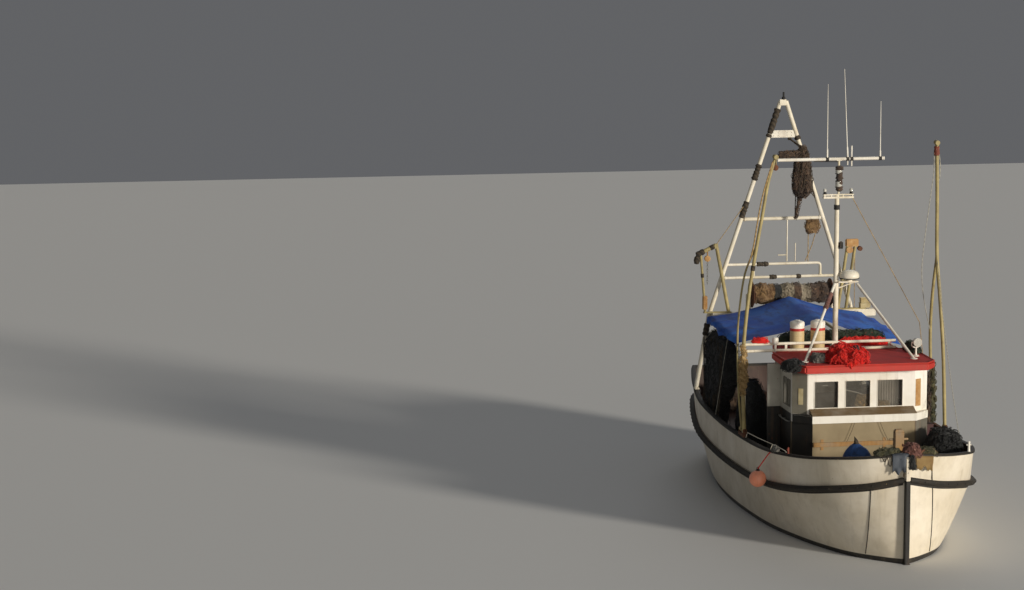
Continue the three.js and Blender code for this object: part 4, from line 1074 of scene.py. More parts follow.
def buildHouseTrim():
    bm = bmesh.new()
    # corner mouldings of the sides
    for side in (1, -1):
        addTube(bm, [(side * 1.425, -1.155, 1.2), (side * 1.425, -1.155, 3.3)], 0.014, 8)
        addTube(bm, [(side * 1.105, -0.105, 1.2), (side * 1.105, -0.105, 3.3)], 0.014, 8)
    makePiece("house_mouldings", bm, shadedSideEnamel, slot="house_white")

    bm = bmesh.new()
    # grab rails along the sides on stand-offs
    for side in (1, -1):
        x = side * 1.475
        addTube(bm, throughPoints([(side * 1.42, -2.32, 2.23), (x, -2.27, 2.23), (x, -1.67, 2.23),
                                   (side * 1.42, -1.62, 2.23)], 5), 0.014, 8)
        addTube(bm, [(side * 1.42, -1.97, 2.23), (x, -1.97, 2.23)], 0.009, 6)
    makePiece("house_grab_rails", bm, dullSteel, slot="steel")

    # a board across the front above the rail, and a locker on the port side deck
    build("front_plank", postTimber, [
        (addBox, (-1.06, -2.842, 1.77), (0.64, -2.806, 1.86), 0.004),
        (addBox, (-0.9, -2.808, 1.7), (-0.84, -2.8, 1.92), 0.002),
        (addBox, (0.4, -2.808, 1.7), (0.46, -2.8, 1.92), 0.002),
    ], slot="timber")
    build("side_locker", lockerPaint, [
        (addBox, (1.44, -2.3, 1.13), (1.62, -1.95, 2.03), 0.012),
        (addBox, (1.43, -2.31, 2.03), (1.63, -1.94, 2.06), 0.008),
    ], slot="hull_paint")


buildHouseTrim()


def buildRoof():
    bm = bmesh.new()
    outline = [
        (-1.19, 0.05), (-1.19, -1.13), (-1.51, -1.13), (-1.51, -2.7), (-1.28, -3.0),
        (1.28, -3.0), (1.51, -2.7), (1.51, -1.13), (1.19, -1.13), (1.19, 0.05),
    ]
    addPlate(bm, *[[(x, y, z) for x, y in outline] for z in (house["roofLow"], house["roofTop"])], 0.028)
    bmesh.ops.recalc_face_normals(bm, faces=bm.faces)
    # top faces take the darker red as painted shade, the edges the brighter red
    for face in bm.faces:
        face.material_index = 0 if face.normal.z > 0.9 else 1
    makePiece("roof_plate", bm, [roofTopShaded, redEdge], slot="roof_red", stands=("wheelhouse_roof",), angle=25)
    bm = bmesh.new()
    inner = [
        (-1.165, 0.025), (-1.165, -1.155), (-1.485, -1.155), (-1.485, -2.69), (-1.27, -2.975),
        (1.27, -2.975), (1.485, -2.69), (1.485, -1.155), (1.165, -1.155), (1.165, 0.025),
    ]
    addLoop(bm, [(x, y, 3.45) for x, y in inner], 0.016, 8)
    makePiece("roof_edge_moulding", bm, redEdge, slot="roof_red")


buildRoof()


def buildDoor():
    bm = bmesh.new()
    addBox(bm, (-0.944, -0.155, 1.256), (-0.276, -0.1, 3.044), 0.008)
    for low, high in ((1.5, 1.62), (2.66, 2.78)):
        addTurned(bm, [(0.01, 0), (0.019, 0.001), (0.019, high - low - 0.001), (0.01, high - low)],
                  (-0.962, -0.07, low), sides=16)
        addBox(bm, (-0.948, -0.102, low + 0.01), (-0.8, -0.064, high - 0.01), 0.003)
    # raised panel and kick plate
    addBox(bm, (-0.88, -0.104, 1.36), (-0.34, -0.094, 2.18), 0.004)
    makePiece("door_leaf", bm, houseWhite, "door", "house_white", ("wheelhouse_door",))
    bm = bmesh.new()
    addBox(bm, (-0.82, -0.102, 2.4), (-0.4, -0.092, 2.9), 0.003)
    makePiece("door_pane", bm, windowGlass, "door", "window_glass")
    bm = bmesh.new()
    addLoop(bm, [(u, -0.096, v) for u, v in roundedFrame(-0.825, -0.395, 2.395, 2.905, 0.05)], 0.013)
    makePiece("door_gasket", bm, darkRubber, "door", "rail_black")
    bm = bmesh.new()
    addTurned(bm, [(0.03, 0), (0.03, 0.008), (0.012, 0.012), (0.012, 0.05)], (-0.34, -0.1, 2.15), (0, 1, 0),
              16)
    addTube(bm, throughPoints([(-0.34, -0.052, 2.15), (-0.4, -0.048, 2.15), (-0.47, -0.054, 2.145)], 4),
            0.01, 8)
    makePiece("door_handle", bm, dullSteel, "door", "steel")


buildDoor()


def buildHelm():
    bm = bmesh.new()
    low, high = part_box("helm_console")
    addBox(bm, low, high, 0.02)
    addBox(bm, (-0.12, -2.44, 2.05), (0.92, -2.4, 2.2), 0.01)
    makePiece("helm_desk", bm, deskTimber, slot="timber", stands=("helm_console",))
    bm = bmesh.new()
    x, y, z = 0.35, -1.95, 1.85
    addLoop(bm, circle((x, y, z), 0.23, 30), 0.016, 8)
    for k in range(6):
        a = math.radians(60 * k + 30)
        addTube(bm, [(x, y, z), (x + 0.3 * math.cos(a), y, z + 0.3 * math.sin(a))], [0.014, 0.01], 8)
    addTurned(bm, [(0.02, 0), (0.03, 0.0), (0.03, 0.155), (0.0, 0.16)], (x, -2.0797, z), (0, 1, 0), 16)
    makePiece("helm_wheel_spoked", bm, dullSteel, slot="steel", stands=("helm_wheel",))
    bm = bmesh.new()
    addBox(bm, (0.02, -2.38, 2.05), (0.3, -2.16, 2.24), 0.015)
    addBox(bm, (0.55, -2.36, 2.05), (0.8, -2.18, 2.2), 0.015)
    makePiece("helm_instruments", bm, darkRubber, slot="rail_black")


buildHelm()


def buildCurtain():
    # a pleated curtain behind the port front window, and gear on the shelf under the middle one
    x0, x1, z0, z1, pleats = 0.37, 0.8, 2.5, 3.1, 8
    rows = []
    for k in range(9):
        row = []
        for i in range(pleats * 8 + 1):
            t = i / (pleats * 8)
            wave = math.sin(2 * math.pi * pleats * t)
            row.append((x0 + (x1 - x0) * t + 0.006 * math.sin(4 * math.pi * pleats * t),
                        -2.46 + 0.016 * wave * (0.7 + 0.3 * k / 8), z1 - (z1 - z0) * k / 8))
        rows.append(row)
    makeSheet("curtain_port", rows, curtainCloth, slot="house_white")
    build("window_rod", houseWhite, [(addTube, [(-0.33, -2.49, 2.87), (-0.05, -2.49, 2.8),
                                                (0.18, -2.49, 2.7)], 0.012, 8)], slot="timber")
    build("window_strip", houseWhite, [(addBox, (-0.8, -2.49, 2.955), (-0.68, -2.485, 2.975), 0.001)],
          slot="house_white")
    for name, x0, x1, top in (("window_pile_middle", -0.12, 0.2, 2.76),
                              ("window_pile_port", 0.34, 0.62, 2.62)):
        rows = [(x0, x1, -2.53, -2.48, 2.5), (x0, x1, -2.53, -2.48, 2.56),
                (x0 + 0.04, x1 - 0.02, -2.525, -2.485, top)]
        growHeap(name, ropeHeap, lumpMesh(name, rows, 3, 20, 0.8), (0.08, 0.01, 900.0, 0.02, 0.004, 2),
                 slot="timber")


print("wheelhouse done")

# Mast, its legs, lights and yard
mast = {"y": -0.55, "yard": 7.35}


def buildMast():
    y = mast["y"]
    bm = bmesh.new()
    addTube(bm, [(0, y, roofSeat), (0, y, 4.8), (0, y, 6.62)], [0.058, 0.055, 0.045], 20)
    addRound(bm, [(0.11, 0), (0.11, 0.014), (0.06, 0.02), (0.06, 0.1)], (0, y, roofSeat), sides=20)
    addBox(bm, (-0.3, y - 0.045, 6.535), (0.35, y + 0.045, 6.575), 0.006)
    addBox(bm, (-0.3, y - 0.045, 6.6), (0.35, y + 0.045, 6.625), 0.006)
    for x in (-0.27, -0.13, 0.12, 0.32):
        addBox(bm, (x - 0.012, y - 0.04, 6.56), (x + 0.012, y + 0.04, 6.61), 0.003)
    addTube(bm, [(0.03, y, 6.6), (0.03, y, 7.3147)], 0.024, 12)
    addBox(bm, (0.02, y - 0.13, 4.785), (0.45, y + 0.03, 4.81), 0.006)
    addTube(bm, [(0.06, y, 4.66), (0.4, y - 0.05, 4.79)], 0.014, 8)
    makePiece("mast_pole", bm, gearCream, slot="gear_cream", stands=("mast",))
    rows = [(0.062 + 0.045 * noise.noise(Vector((1.7, 0.9 * k, 0.2))) + 0.014 * (k % 2),
             0.03 * k) for k in range(18)]
    build("mast_post_cords", netBrown, [(addTurned, [(0.02, -0.01)] + rows + [(0.02, 0.54)],
                                         (0.045, y, 6.68), (0, 0, 1), 12)], slot="net_brown")
    # two lights on the post, each a lens between two plates, with a shade behind
    bm = bmesh.new()
    for z in (6.76, 7.04):
        addRound(bm, [(0.075, 0), (0.075, 0.014)], (0.03, y, z), sides=20)
        addTurned(bm, [(0.0, 0.126), (0.075, 0.126), (0.06, 0.142), (0.0, 0.15)], (0.03, y, z), sides=20)
    for x in (-0.26, 0.3):
        addRound(bm, [(0.04, 0), (0.04, 0.012), (0.03, 0.02), (0.03, 0.05)], (x, y, 6.625), sides=16)
    makePiece("mast_light_bodies", bm, darkRubber, slot="rail_black")
    bm = bmesh.new()
    for z in (6.774, 7.054):
        addRound(bm, [(0.066, 0), (0.07, 0.056), (0.066, 0.112)], (0.03, y, z), sides=20)
    for x in (-0.26, 0.3):
        addTurned(bm, [(0.0, 0.05), (0.032, 0.05), (0.034, 0.09), (0.02, 0.115), (0.0, 0.12)],
                  (x, y, 6.625), sides=16)
    makePiece("mast_light_lenses", bm, clearLens, slot="window_glass")
    # the dark halyard block and cleat on the pole
    bm = bmesh.new()
    addBox(bm, (0.04, y - 0.075, 5.5), (0.13, y - 0.015, 5.64), 0.02)
    addRound(bm, [(0.05, -0.03), (0.04, 0), (0.05, 0.03)], (0.085, y - 0.045, 5.53), (1, 0, 0), 16)
    addTube(bm, [(-0.07, y - 0.07, 4.3), (-0.07, y - 0.07, 4.5)], 0.012, 8)
    addRound(bm, [(0.062, -0.05), (0.062, 0.05)], (0, y, 6.35), sides=16)
    makePiece("mast_blocks", bm, darkRubber, slot="rail_black")

    legs = {"port": ((1.14, -2.42), (0.42, y - 0.1, 4.76)),
            "starboard": ((-1.14, -2.42), (-0.02, y - 0.04, 4.79))}
    for name, ((fx, fy), head) in legs.items():
        bm = bmesh.new()
        start, end = Vector((fx, fy, 3.452)), Vector(head)
        along = (end - start).normalized()
        shown = end - along * (0.03 if name == "port" else 0.07)
        addTube(bm, [start, shown], 0.03, 16)
        addRound(bm, [(0.075, 0), (0.075, 0.012), (0.034, 0.018)], (fx, fy, roofSeat), sides=16)
        makePiece("mast_leg_tube_" + name, bm, houseWhite, slot="gear_cream", stands=("mast_leg_" + name,))
        if name == "starboard":
            wound = [start + along * (2.16 - 0.03 * k) for k in range(18)]
            radii = [0.038 + 0.03 * abs(noise.noise(Vector((0.3, 1.1 * k,
                                                            2)))) + 0.008 * (k % 2) for k in range(18)]
            build("mast_leg_wrap", netPink, [(addTube, wound, radii, 12)], slot="net_brown")


buildMast()


def buildYard():
    y, z = mast["y"], mast["yard"]
    bm = bmesh.new()
    addTube(bm, [(-1.28, y, z), (1.0, y, z)], 0.034, 16)
    addRound(bm, [(0.037, 0), (0.037, 0.03)], (-1.28, y, z), (1, 0, 0), 16)
    addRound(bm, [(0.037, 0), (0.037, 0.03)], (0.97, y, z), (1, 0, 0), 16)
    addBox(bm, (-0.03, y - 0.05, z - 0.034), (0.09, y + 0.05, z - 0.02), 0.004)
    for x, topX, top in ((-0.22, -0.22, 8.9), (0.215, 0.125, 9.21), (0.91, 0.91, 8.53)):
        foot = z + 0.02
        mix = lambda share: (x + (topX - x) * share, y, foot + (top - foot) * share)
        addTube(bm, [mix(0), mix(0.12), mix(0.125), mix(0.6), mix(1)], [0.02, 0.018, 0.011, 0.008, 0.0045],
                10)
    addTube(bm, [(0.3, y, z - 0.15), (0.3, y, z), (0.3, y, 7.62)], 0.016, 10)
    addTube(bm, [(0.215, y, z - 0.13), (0.215, y, z)], 0.014, 10)
    makePiece("yard_and_whips", bm, houseWhite, slot="house_white", stands=("mast_yard",))
    bm = bmesh.new()
    for x in (-0.22, 0.215, 0.3, 0.91):
        addRound(bm, [(0.042, -0.03), (0.042, 0.03)], (x, y, z), (1, 0, 0), 16)
    addTube(bm, [(-0.5, y + 0.03, z - 0.045), (0.02, y + 0.03, z - 0.06), (0.05, y + 0.04, 7.0)], 0.01, 6)
    makePiece("yard_clamps", bm, darkRubber, slot="rail_black")


buildYard()


def buildRadar():
    bm = bmesh.new()
    rows = [(0.0, 0), (0.06, 0), (0.06, 0.035), (0.17, 0.045), (0.198, 0.065), (0.207, 0.1), (0.2, 0.145),
            (0.175, 0.185), (0.12, 0.215), (0.05, 0.23), (0.0, 0.232)]
    addTurned(bm, rows, (0.27, -0.61, 4.8103), sides=40)
    makePiece("radar_dome", bm, whitePlastic, slot="house_white", stands=("radar",), angle=50)
    bm = bmesh.new()
    addRound(bm, [(0.2075, 0), (0.2085, 0.018)], (0.27, -0.61, 4.862), sides=40)
    makePiece("radar_seam", bm, darkRubber, slot="rail_black")


buildRadar()


def buildRestBeam():
    bm = bmesh.new()
    y, low, high = -1.11, 3.4803, 3.6203
    addTube(bm, [(-2.12, y, low), (1.14, y, low)], 0.03, 16)
    addTube(bm, [(-2.12, y, high), (1.14, y, high)], 0.03, 16)
    addTube(bm, [(-2.07, y, 1.7906), (-2.07, y, low)], 0.024, 12)
    addRound(bm, [(0.045, 0), (0.045, 0.01)], (-2.07, y, 1.7906), sides=12)
    for x in (-2.07, -1.2, -0.2, 1.0):
        addBox(bm, (x - 0.025, y - 0.012, low), (x + 0.025, y + 0.012, high), 0.004)
    makePiece("boom_rest_pipes", bm, gearCream, slot="gear_cream", stands=("boom_rest_beam",))
    # deck light clamped before the beam's starboard part
    build("deck_light", houseWhite, [
        (addTube, [(-1.44, y - 0.05, low - 0.03), (-1.44, y - 0.05, high + 0.03)], 0.026, 12),
        (addTurned, [(0.0, 0), (0.045, 0.0), (0.064, 0.03), (0.066, 0.11), (0.05, 0.14), (0.0, 0.15)],
         (-1.44, y - 0.06, high), (0, 0, 1), 20),
        (addBox, (-1.47, y - 0.05, low - 0.02), (-1.41, y - 0.02, low + 0.02), 0.004),
    ], slot="house_white")


buildRestBeam()


def buildRoofGear():
    # two float drums with lids, hoops and a red band
    for name, x in (("inner", -0.47), ("outer", -0.91)):
        foot = roofSeat
        bm = bmesh.new()
        rows = [(0.0, 0), (0.132, 0), (0.146, 0.012), (0.148, 0.09), (0.1515, 0.095), (0.1515, 0.11),
                (0.148, 0.115), (0.148, 0.3),
                (0.1515, 0.305), (0.1515, 0.32), (0.148, 0.325), (0.148, 0.5), (0.152, 0.505),
                (0.152, 0.56), (0.14, 0.585), (0.1, 0.6),
                (0.06, 0.605), (0.055, 0.62), (0.0, 0.62)]
        addTurned(bm, rows, (x, -0.9, foot), sides=32)
        makePiece("float_drum_" + name + "_body", bm, drumPlastic, slot="house_white",
                  stands=("float_drum_" + name,), angle=30)
        bm = bmesh.new()
        addTurned(bm, [(0.1, 0.4), (0.1505, 0.4), (0.1505, 0.455), (0.1, 0.455)], (x, -0.9, foot), sides=32)
        addTurned(bm, [(0.1, 0.15), (0.1495, 0.15), (0.1495, 0.165), (0.1, 0.165)], (x, -0.9, foot),
                  sides=32)
        makePiece("float_drum_" + name + "_bands", bm, redPlastic, slot="roof_red")
    # searchlight: drum head in a yoke on a pedestal
    bm = bmesh.new()
    x, y, foot = 1.27, -2.12, roofSeat
    addRound(bm, [(0.07, 0), (0.07, 0.018), (0.03, 0.03), (0.022, 0.05), (0.022, 0.18)], (x, y, foot),
             sides=20)
    addTube(bm, throughPoints([(x - 0.09, -2.15, foot + 0.3), (x - 0.088, -2.13, foot + 0.22),
                               (x, -2.12, foot + 0.175), (x + 0.088, -2.13, foot + 0.22),
                               (x + 0.09, -2.15, foot + 0.3)], 5), 0.012, 8)
    addTurned(bm, [(0.0, 0.22), (0.04, 0.215), (0.065, 0.18), (0.078, 0.1), (0.084, 0.02), (0.086, 0.0),
                   (0.078, 0.0), (0.07, 0.03), (0.0, 0.035)],
              (x, -2.26, foot + 0.3), (0, 1, 0), 28)
    makePiece("searchlight_body", bm, houseWhite, slot="steel", stands=("searchlight",))
    bm = bmesh.new()
    addTurned(bm, [(0.0, 0.0), (0.074, 0.004), (0.074, 0.02), (0.0, 0.02)], (x, -2.262, foot + 0.3),
              (0, 1, 0), 28)
    makePiece("searchlight_glass", bm, clearLens, slot="window_glass")


buildRoofGear()
print("mast and roof gear done")

# Netting and loose rope


def heapTree(name, material):
    # a lumpy mass with short loops of cord strewn over it, turned every way
    tree, given = startTree(name, {
        "Lump Size": ("NodeSocketFloat", 0.25),
        "Lump Depth": ("NodeSocketFloat", 0.06),
        "Loops": ("NodeSocketFloat", 250.0),
        "Loop Radius": ("NodeSocketFloat", 0.07),
        "Cord Radius": ("NodeSocketFloat", 0.007),
        "Seed": ("NodeSocketInt", 3),
    })
    fine = addNode(tree, "GeometryNodeSubdivideMesh", {"Mesh": given["Geometry"], "Level": 1})
    place = addNode(tree, "GeometryNodeInputPosition")
    inverse = addNode(tree, "ShaderNodeMath", {0: 1.0, 1: given["Lump Size"]}, operation="DIVIDE")
    field = addNode(tree, "ShaderNodeTexNoise", {"Vector": place, "Scale": inverse,
                                                 "Detail": 2.0}).outputs["Fac"]
    swing = addNode(tree, "ShaderNodeMath", {0: field, 1: 0.5}, operation="SUBTRACT")
    depth = addNode(tree, "ShaderNodeMath", {0: swing, 1: given["Lump Depth"]}, operation="MULTIPLY")
    doubled = addNode(tree, "ShaderNodeMath", {0: depth, 1: 2.0}, operation="MULTIPLY")
    normal = addNode(tree, "GeometryNodeInputNormal")
    offset = addNode(tree, "ShaderNodeVectorMath", {0: normal, "Scale": doubled}, operation="SCALE")
    body = addNode(tree, "GeometryNodeSetPosition", {"Geometry": fine, "Offset": offset})
    points = addNode(
        tree, "GeometryNodeDistributePointsOnFaces",
        {"Mesh": body, "Density": given["Loops"], "Seed": given["Seed"]},
    )
    ring = addNode(
        tree, "GeometryNodeCurveArc",
        {"Resolution": 7, "Radius": given["Loop Radius"], "Sweep Angle": math.radians(235)}, mode="RADIUS",
    )
    section = addNode(
        tree, "GeometryNodeCurvePrimitiveCircle", {"Resolution": 4, "Radius": given["Cord Radius"]},
    )
    loop = addNode(
        tree, "GeometryNodeCurveToMesh",
        {"Curve": ring, "Profile Curve": section, "Fill Caps": True},
    )
    spin = addNode(
        tree, "FunctionNodeRandomValue",
        {0: (-0.5, -0.5, -3.14), 1: (0.5, 0.5, 3.14), "Seed": given["Seed"]}, data_type="FLOAT_VECTOR",
    )
    turned = addNode(
        tree, "FunctionNodeRotateRotation", {0: points.outputs["Rotation"], 1: spin},
        rotation_space="LOCAL",
    )
    scaled = addNode(
        tree, "FunctionNodeRandomValue",
        {2: 0.5, 3: 1.2, "Seed": given["Seed"]}, data_type="FLOAT",
    )
    loops = addNode(tree, "GeometryNodeInstanceOnPoints", {
        "Points": points, "Instance": loop, "Rotation": turned,
        "Scale": scaled.outputs[1],
    })
    joined = tree.nodes.new("GeometryNodeJoinGeometry")
    for part in (loops, body):
        feed(tree, joined, {0: part})
    endTree(tree, joined, material)
    return tree


def lumpMesh(name, rows, steps=4, around=28, power=0.6):
    # rows of x from, x to, y from, y to, z: rounded outlines, one over the other, closed at both ends
    bm = bmesh.new()
    fine = smoothRows(rows, steps)
    rings = []
    first, last = fine[0], fine[-1]
    shaped = [(first, 0.5)] + [(row, 1.0) for row in fine] + [(last, 0.5)]
    for (x0, x1, y0, y1, z), share in shaped:
        ring = []
        for k in range(around):
            a = 2 * math.pi * k / around
            c, s = math.cos(a), math.sin(a)
            ring.append((
                (x0 + x1) / 2 + (x1 - x0) / 2 * share * math.copysign(abs(c) ** power, c),
                (y0 + y1) / 2 + (y1 - y0) / 2 * share * math.copysign(abs(s) ** power, s), z,
            ))
        rings.append(ring)
    addRings(bm, rings)
    return toMesh(name, bm)


def growHeap(name, tree, source, sizes, *ride, **marks):
    # sizes stand in the order of the tree's inputs
    labels = ("Lump Size", "Lump Depth", "Loops", "Loop Radius", "Cord Radius", "Seed")
    growPiece(name, tree, source, dict(zip(labels, sizes)), *ride, **marks)


blackHeap = heapTree("black_net_heap", netBlack)
greenHeap = heapTree("green_net_heap", netGreen)
brownHeap = heapTree("brown_net_heap", netBrown)
redHeap = heapTree("red_net_heap", netRed)
ropeHeap = heapTree("rope_heap", ropeTan)
tanHeap = heapTree("tan_net_heap", netTan)
taupeHeap = heapTree("taupe_net_heap", netTaupe)
pinkHeap = heapTree("faded_red_net_heap", netPink)
greyHeap = heapTree("grey_net_heap", netGrey)
oliveHeap = heapTree("olive_net_heap", netOlive)
tanCords = cordTree("tan_cords", ropeTan)
redCords = cordTree("red_cords", ropeRed)
darkCords = cordTree("tarred_cords", ropeDark)
greyCords = cordTree("grey_cords", ropeGrey)

# Booms: a spar and a brace each, on the pins of the heel
booms = {
    # for each: side, half the distance between the feet, the bars (radius, end radius, points), and lashings
    # as (bar, share of its length)
    "port": (1, 0.43, [
        (0.038, 0.038, [(2.095, -1.53, 1.882), (2.04, -1.525, 3.35), (2.012, -1.32, 4.5),
                        (2.008, -1.075, 5.35), (2.004, -1.03, 6.51), (1.985, -1.0, 7.7)]),
        (0.034, 0.032, [(2.095, -0.67, 1.882), (2.015, -0.68, 3.5), (1.99, -0.85, 4.47),
                        (2.008, -1.06, 5.33)]),
    ], ((1, 0.12),)),
    "starboard": (-1, 0.11, [
        (0.042, 0.031, [(2.095, -1.21, 1.882), (2.125, -1.205, 2.65), (2.13, -1.205, 3.45),
                        (2.035, -1.19, 4.5), (1.9, -1.14, 5.35), (1.715, -1.08, 6.31), (1.593, -1.04, 6.96),
                        (1.435, -1.0, 7.47)]),
        (0.022, 0.02, [(2.095, -0.99, 1.882), (2.16, -0.985, 2.6), (2.195, -0.985, 3.58),
                       (2.17, -0.99, 4.25), (2.06, -1.02, 5.08), (1.84, -1.1, 5.66)]),
    ], ((0, 0.56),)),
}
boomHeel = {"x": 2.095, "y": -1.1, "z": 1.85, "pin": 1.8503, "barTop": 1.79, "eye": 0.055}


def buildBoom(name):
    side, feet, bars, lashings = booms[name]
    body = "boom_" + name
    bm = bmesh.new()
    strands = []
    for radius, endRadius, line in bars:
        points = throughPoints([(side * x, y, z) for x, y, z in line], 6)
        strands.append(points)
        last = len(points) - 1
        addTube(bm, points, [radius + (endRadius - radius) * i / last for i in range(last + 1)], 16)
    e = boomHeel["eye"]
    eye = [(0.0189, -e), (0.038, -e), (0.044, 0.006 - e), (0.044, e - 0.006), (0.038, e), (0.0189, e)]
    for sign in (-1, 1):
        pin = (side * boomHeel["x"], boomHeel["y"] + sign * feet, boomHeel["z"])
        addTurned(bm, eye, pin, (0, 1, 0), 24, True)
    headX, headY, headZ = strands[0][-1]
    addRound(bm, [(0.044, -0.07), (0.052, -0.062), (0.052, 0.062), (0.044, 0.07)], (headX, headY, headZ),
             (0, 1, 0), 20)
    low, high = (headX - 0.008, headY - 0.05, headZ - 0.15), (headX + 0.008, headY + 0.05, headZ - 0.04)
    addBox(bm, low, high, 0.003)
    # the collar where the brace joins the spar
    joint = min(strands[0], key=lambda p: (p - strands[1][-1]).length)
    addTube(bm, [joint, strands[1][-1]], 0.026, 10)
    makePiece("boom_tubes_" + name, bm, boomTan, body, "boom_tan", (body,))
    bm = bmesh.new()
    for bar, share in lashings:
        strand = strands[bar]
        i = int(share * (len(strand) - 1))
        r = bars[bar][0]
        rows = [(r - 0.006, -0.05), (r + 0.004, -0.045), (r + 0.002, -0.015), (r + 0.006, 0),
                (r + 0.002, 0.02), (r + 0.003, 0.05), (r - 0.006, 0.055)]
        addTurned(bm, rows, strand[i], (strand[i + 1] - strand[i]).normalized(), 16)
    makePiece("boom_lashings_" + name, bm, ropeDark, body, "net_black")
    # the head block: two cheeks, sheave and shackle
    x, y, z = headX, headY, headZ - 0.22
    bm = bmesh.new()
    for offset in (-0.026, 0.02):
        addRound(bm, [(0.055, 0), (0.06, 0.003), (0.055, 0.006)], (x, y + offset, z), (0, 1, 0), 20)
    addRound(bm, [(0.05, -0.018), (0.038, 0), (0.05, 0.018)], (x, y, z), (0, 1, 0), 20)
    addLoop(bm, circle((x, y, z + 0.075), 1, 12, (0.022, 0, 0), (0, 0, 0.035)), 0.007)
    if name == "port":
        # turns of faded red cord below the head
        addTurned(bm, [(0.04, 0), (0.058, 0.01), (0.05, 0.05), (0.062, 0.09), (0.052, 0.14), (0.06, 0.18),
                       (0.04, 0.2)], (headX, headY, headZ - 0.27), (0, 0, 1), 14)
    makePiece("boom_block_" + name, bm, headRed if name == "port" else rustySteel, body, "roof_red")
    if name == "starboard":
        coil = [(-2.17, -2.1, -1.3, -1.23, 2.6), (-2.21, -2.07, -1.31, -1.22, 2.9),
                (-2.2, -2.08, -1.31, -1.22, 3.3), (-2.16, -2.1, -1.28, -1.23, 3.6)]
        growHeap("boom_coil_starboard", ropeHeap, lumpMesh("boom_coil", coil, 3, 20, 0.8),
                 (0.12, 0.03, 500.0, 0.06, 0.009, 3), "boom_starboard", "net_brown")
    # halyards made fast along the boom
    runs = {
        "port": [[(1.93, -1.0, 7.5), (1.93, -1.0, 7.1), (1.89, -1.0, 6.75), (1.8, -1.02, 6.1),
                  (1.76, -1.02, 5.76), (1.715, -1.03, 5.35), (1.7, -1.03, 5.0), (1.74, -1.0, 4.6),
                  (1.85, -0.9, 4.15), (1.995, -0.72, 3.75)],
                 [(2.035, -1.0, 7.5), (2.065, -1.0, 7.25), (2.06, -1.0, 7.0), (2.01, -1.015, 6.86)]],
        "starboard": [[(1.5, -1.03, 7.38), (1.7, -1.07, 6.75), (1.8, -1.1, 6.31), (1.93, -1.15, 5.6),
                       (2.02, -1.03, 5.2)]],
    }[name]
    lines = [throughPoints([(side * x, y, z) for x, y, z in run], 5) for run in runs]
    tree, radius = (greyCords, 0.008) if name == "port" else (tanCords, 0.016)
    growCords("boom_halyards_" + name, tree, lines, radius, 0.0, 2, body, "gear_cream", sides=6)


headRed = paint("worn_red_cord", 0x8A3A2C, 0x6E3A2C, grime=0.5, rough=0.8, chip=0xB08A6A, chipFrom=0.62)


def buildBoomHeel(name):
    side, feet = booms[name][:2]
    x, y, top = side * boomHeel["x"], boomHeel["y"], boomHeel["barTop"]
    reach = feet + boomHeel["eye"] + 0.0003
    bm = bmesh.new()
    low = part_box("boom_heel_" + name)[0][2]
    addBox(bm, (x - 0.042, y - reach - 0.06, max(low, 1.695)), (x + 0.042, y + reach + 0.06, top), 0.006)
    for sign in (-1, 1):
        face = y + sign * reach
        y0, y1 = sorted((face, face + sign * 0.03))
        addBox(bm, (x - 0.042, y0, 1.74), (x + 0.042, y1, 1.892), 0.012)
        addTube(bm, [(x, face - sign * 0.11, boomHeel["pin"]), (x, face + sign * 0.045, boomHeel["pin"])],
                0.018, 16)
        nut = face + (0.031 if sign > 0 else -0.045)
        addRound(bm, [(0.032, 0), (0.032, 0.014)], (x, nut, boomHeel["pin"]), (0, 1, 0), 6)
    for share in (-0.5, 0.5):
        addRound(bm, [(0.016, 0), (0.016, 0.012)], (x, y + share * reach, top), sides=6)
    makePiece("boom_heel_plates_" + name, bm, rustySteel, slot="rusty_steel", stands=("boom_heel_" + name,))


for boomName in booms:
    buildBoom(boomName)
    buildBoomHeel(boomName)
print("booms done")

# A-frame over the stern
aframe = {
    "y": 3.9, "line": [(1.905, 1.82), (1.625, 3.45), (0.054, 8.15)], "radius": 0.048,
    "front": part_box("gantry_beam")[1][1],
    "bars": {"crossbar": ((-0.87, 0.87), 5.55, 0.04), "rail_lower": ((-1.3, 1.3), 4.26, 0.032)},
    # heights from and to of the dark lashings on each leg
    "wraps": {"port": ((3.1, 3.35), (7.28, 7.42)),
              "starboard": ((3.0, 3.3), (5.58, 5.97), (6.4, 6.8), (7.34, 8.02))},
}


def legPoint(z, side):
    for (x0, z0), (x1, z1) in zip(aframe["line"], aframe["line"][1:]):
        if z <= z1:
            break
    return Vector((side * (x0 + (x1 - x0) * (z - z0) / (z1 - z0)), aframe["y"], z))


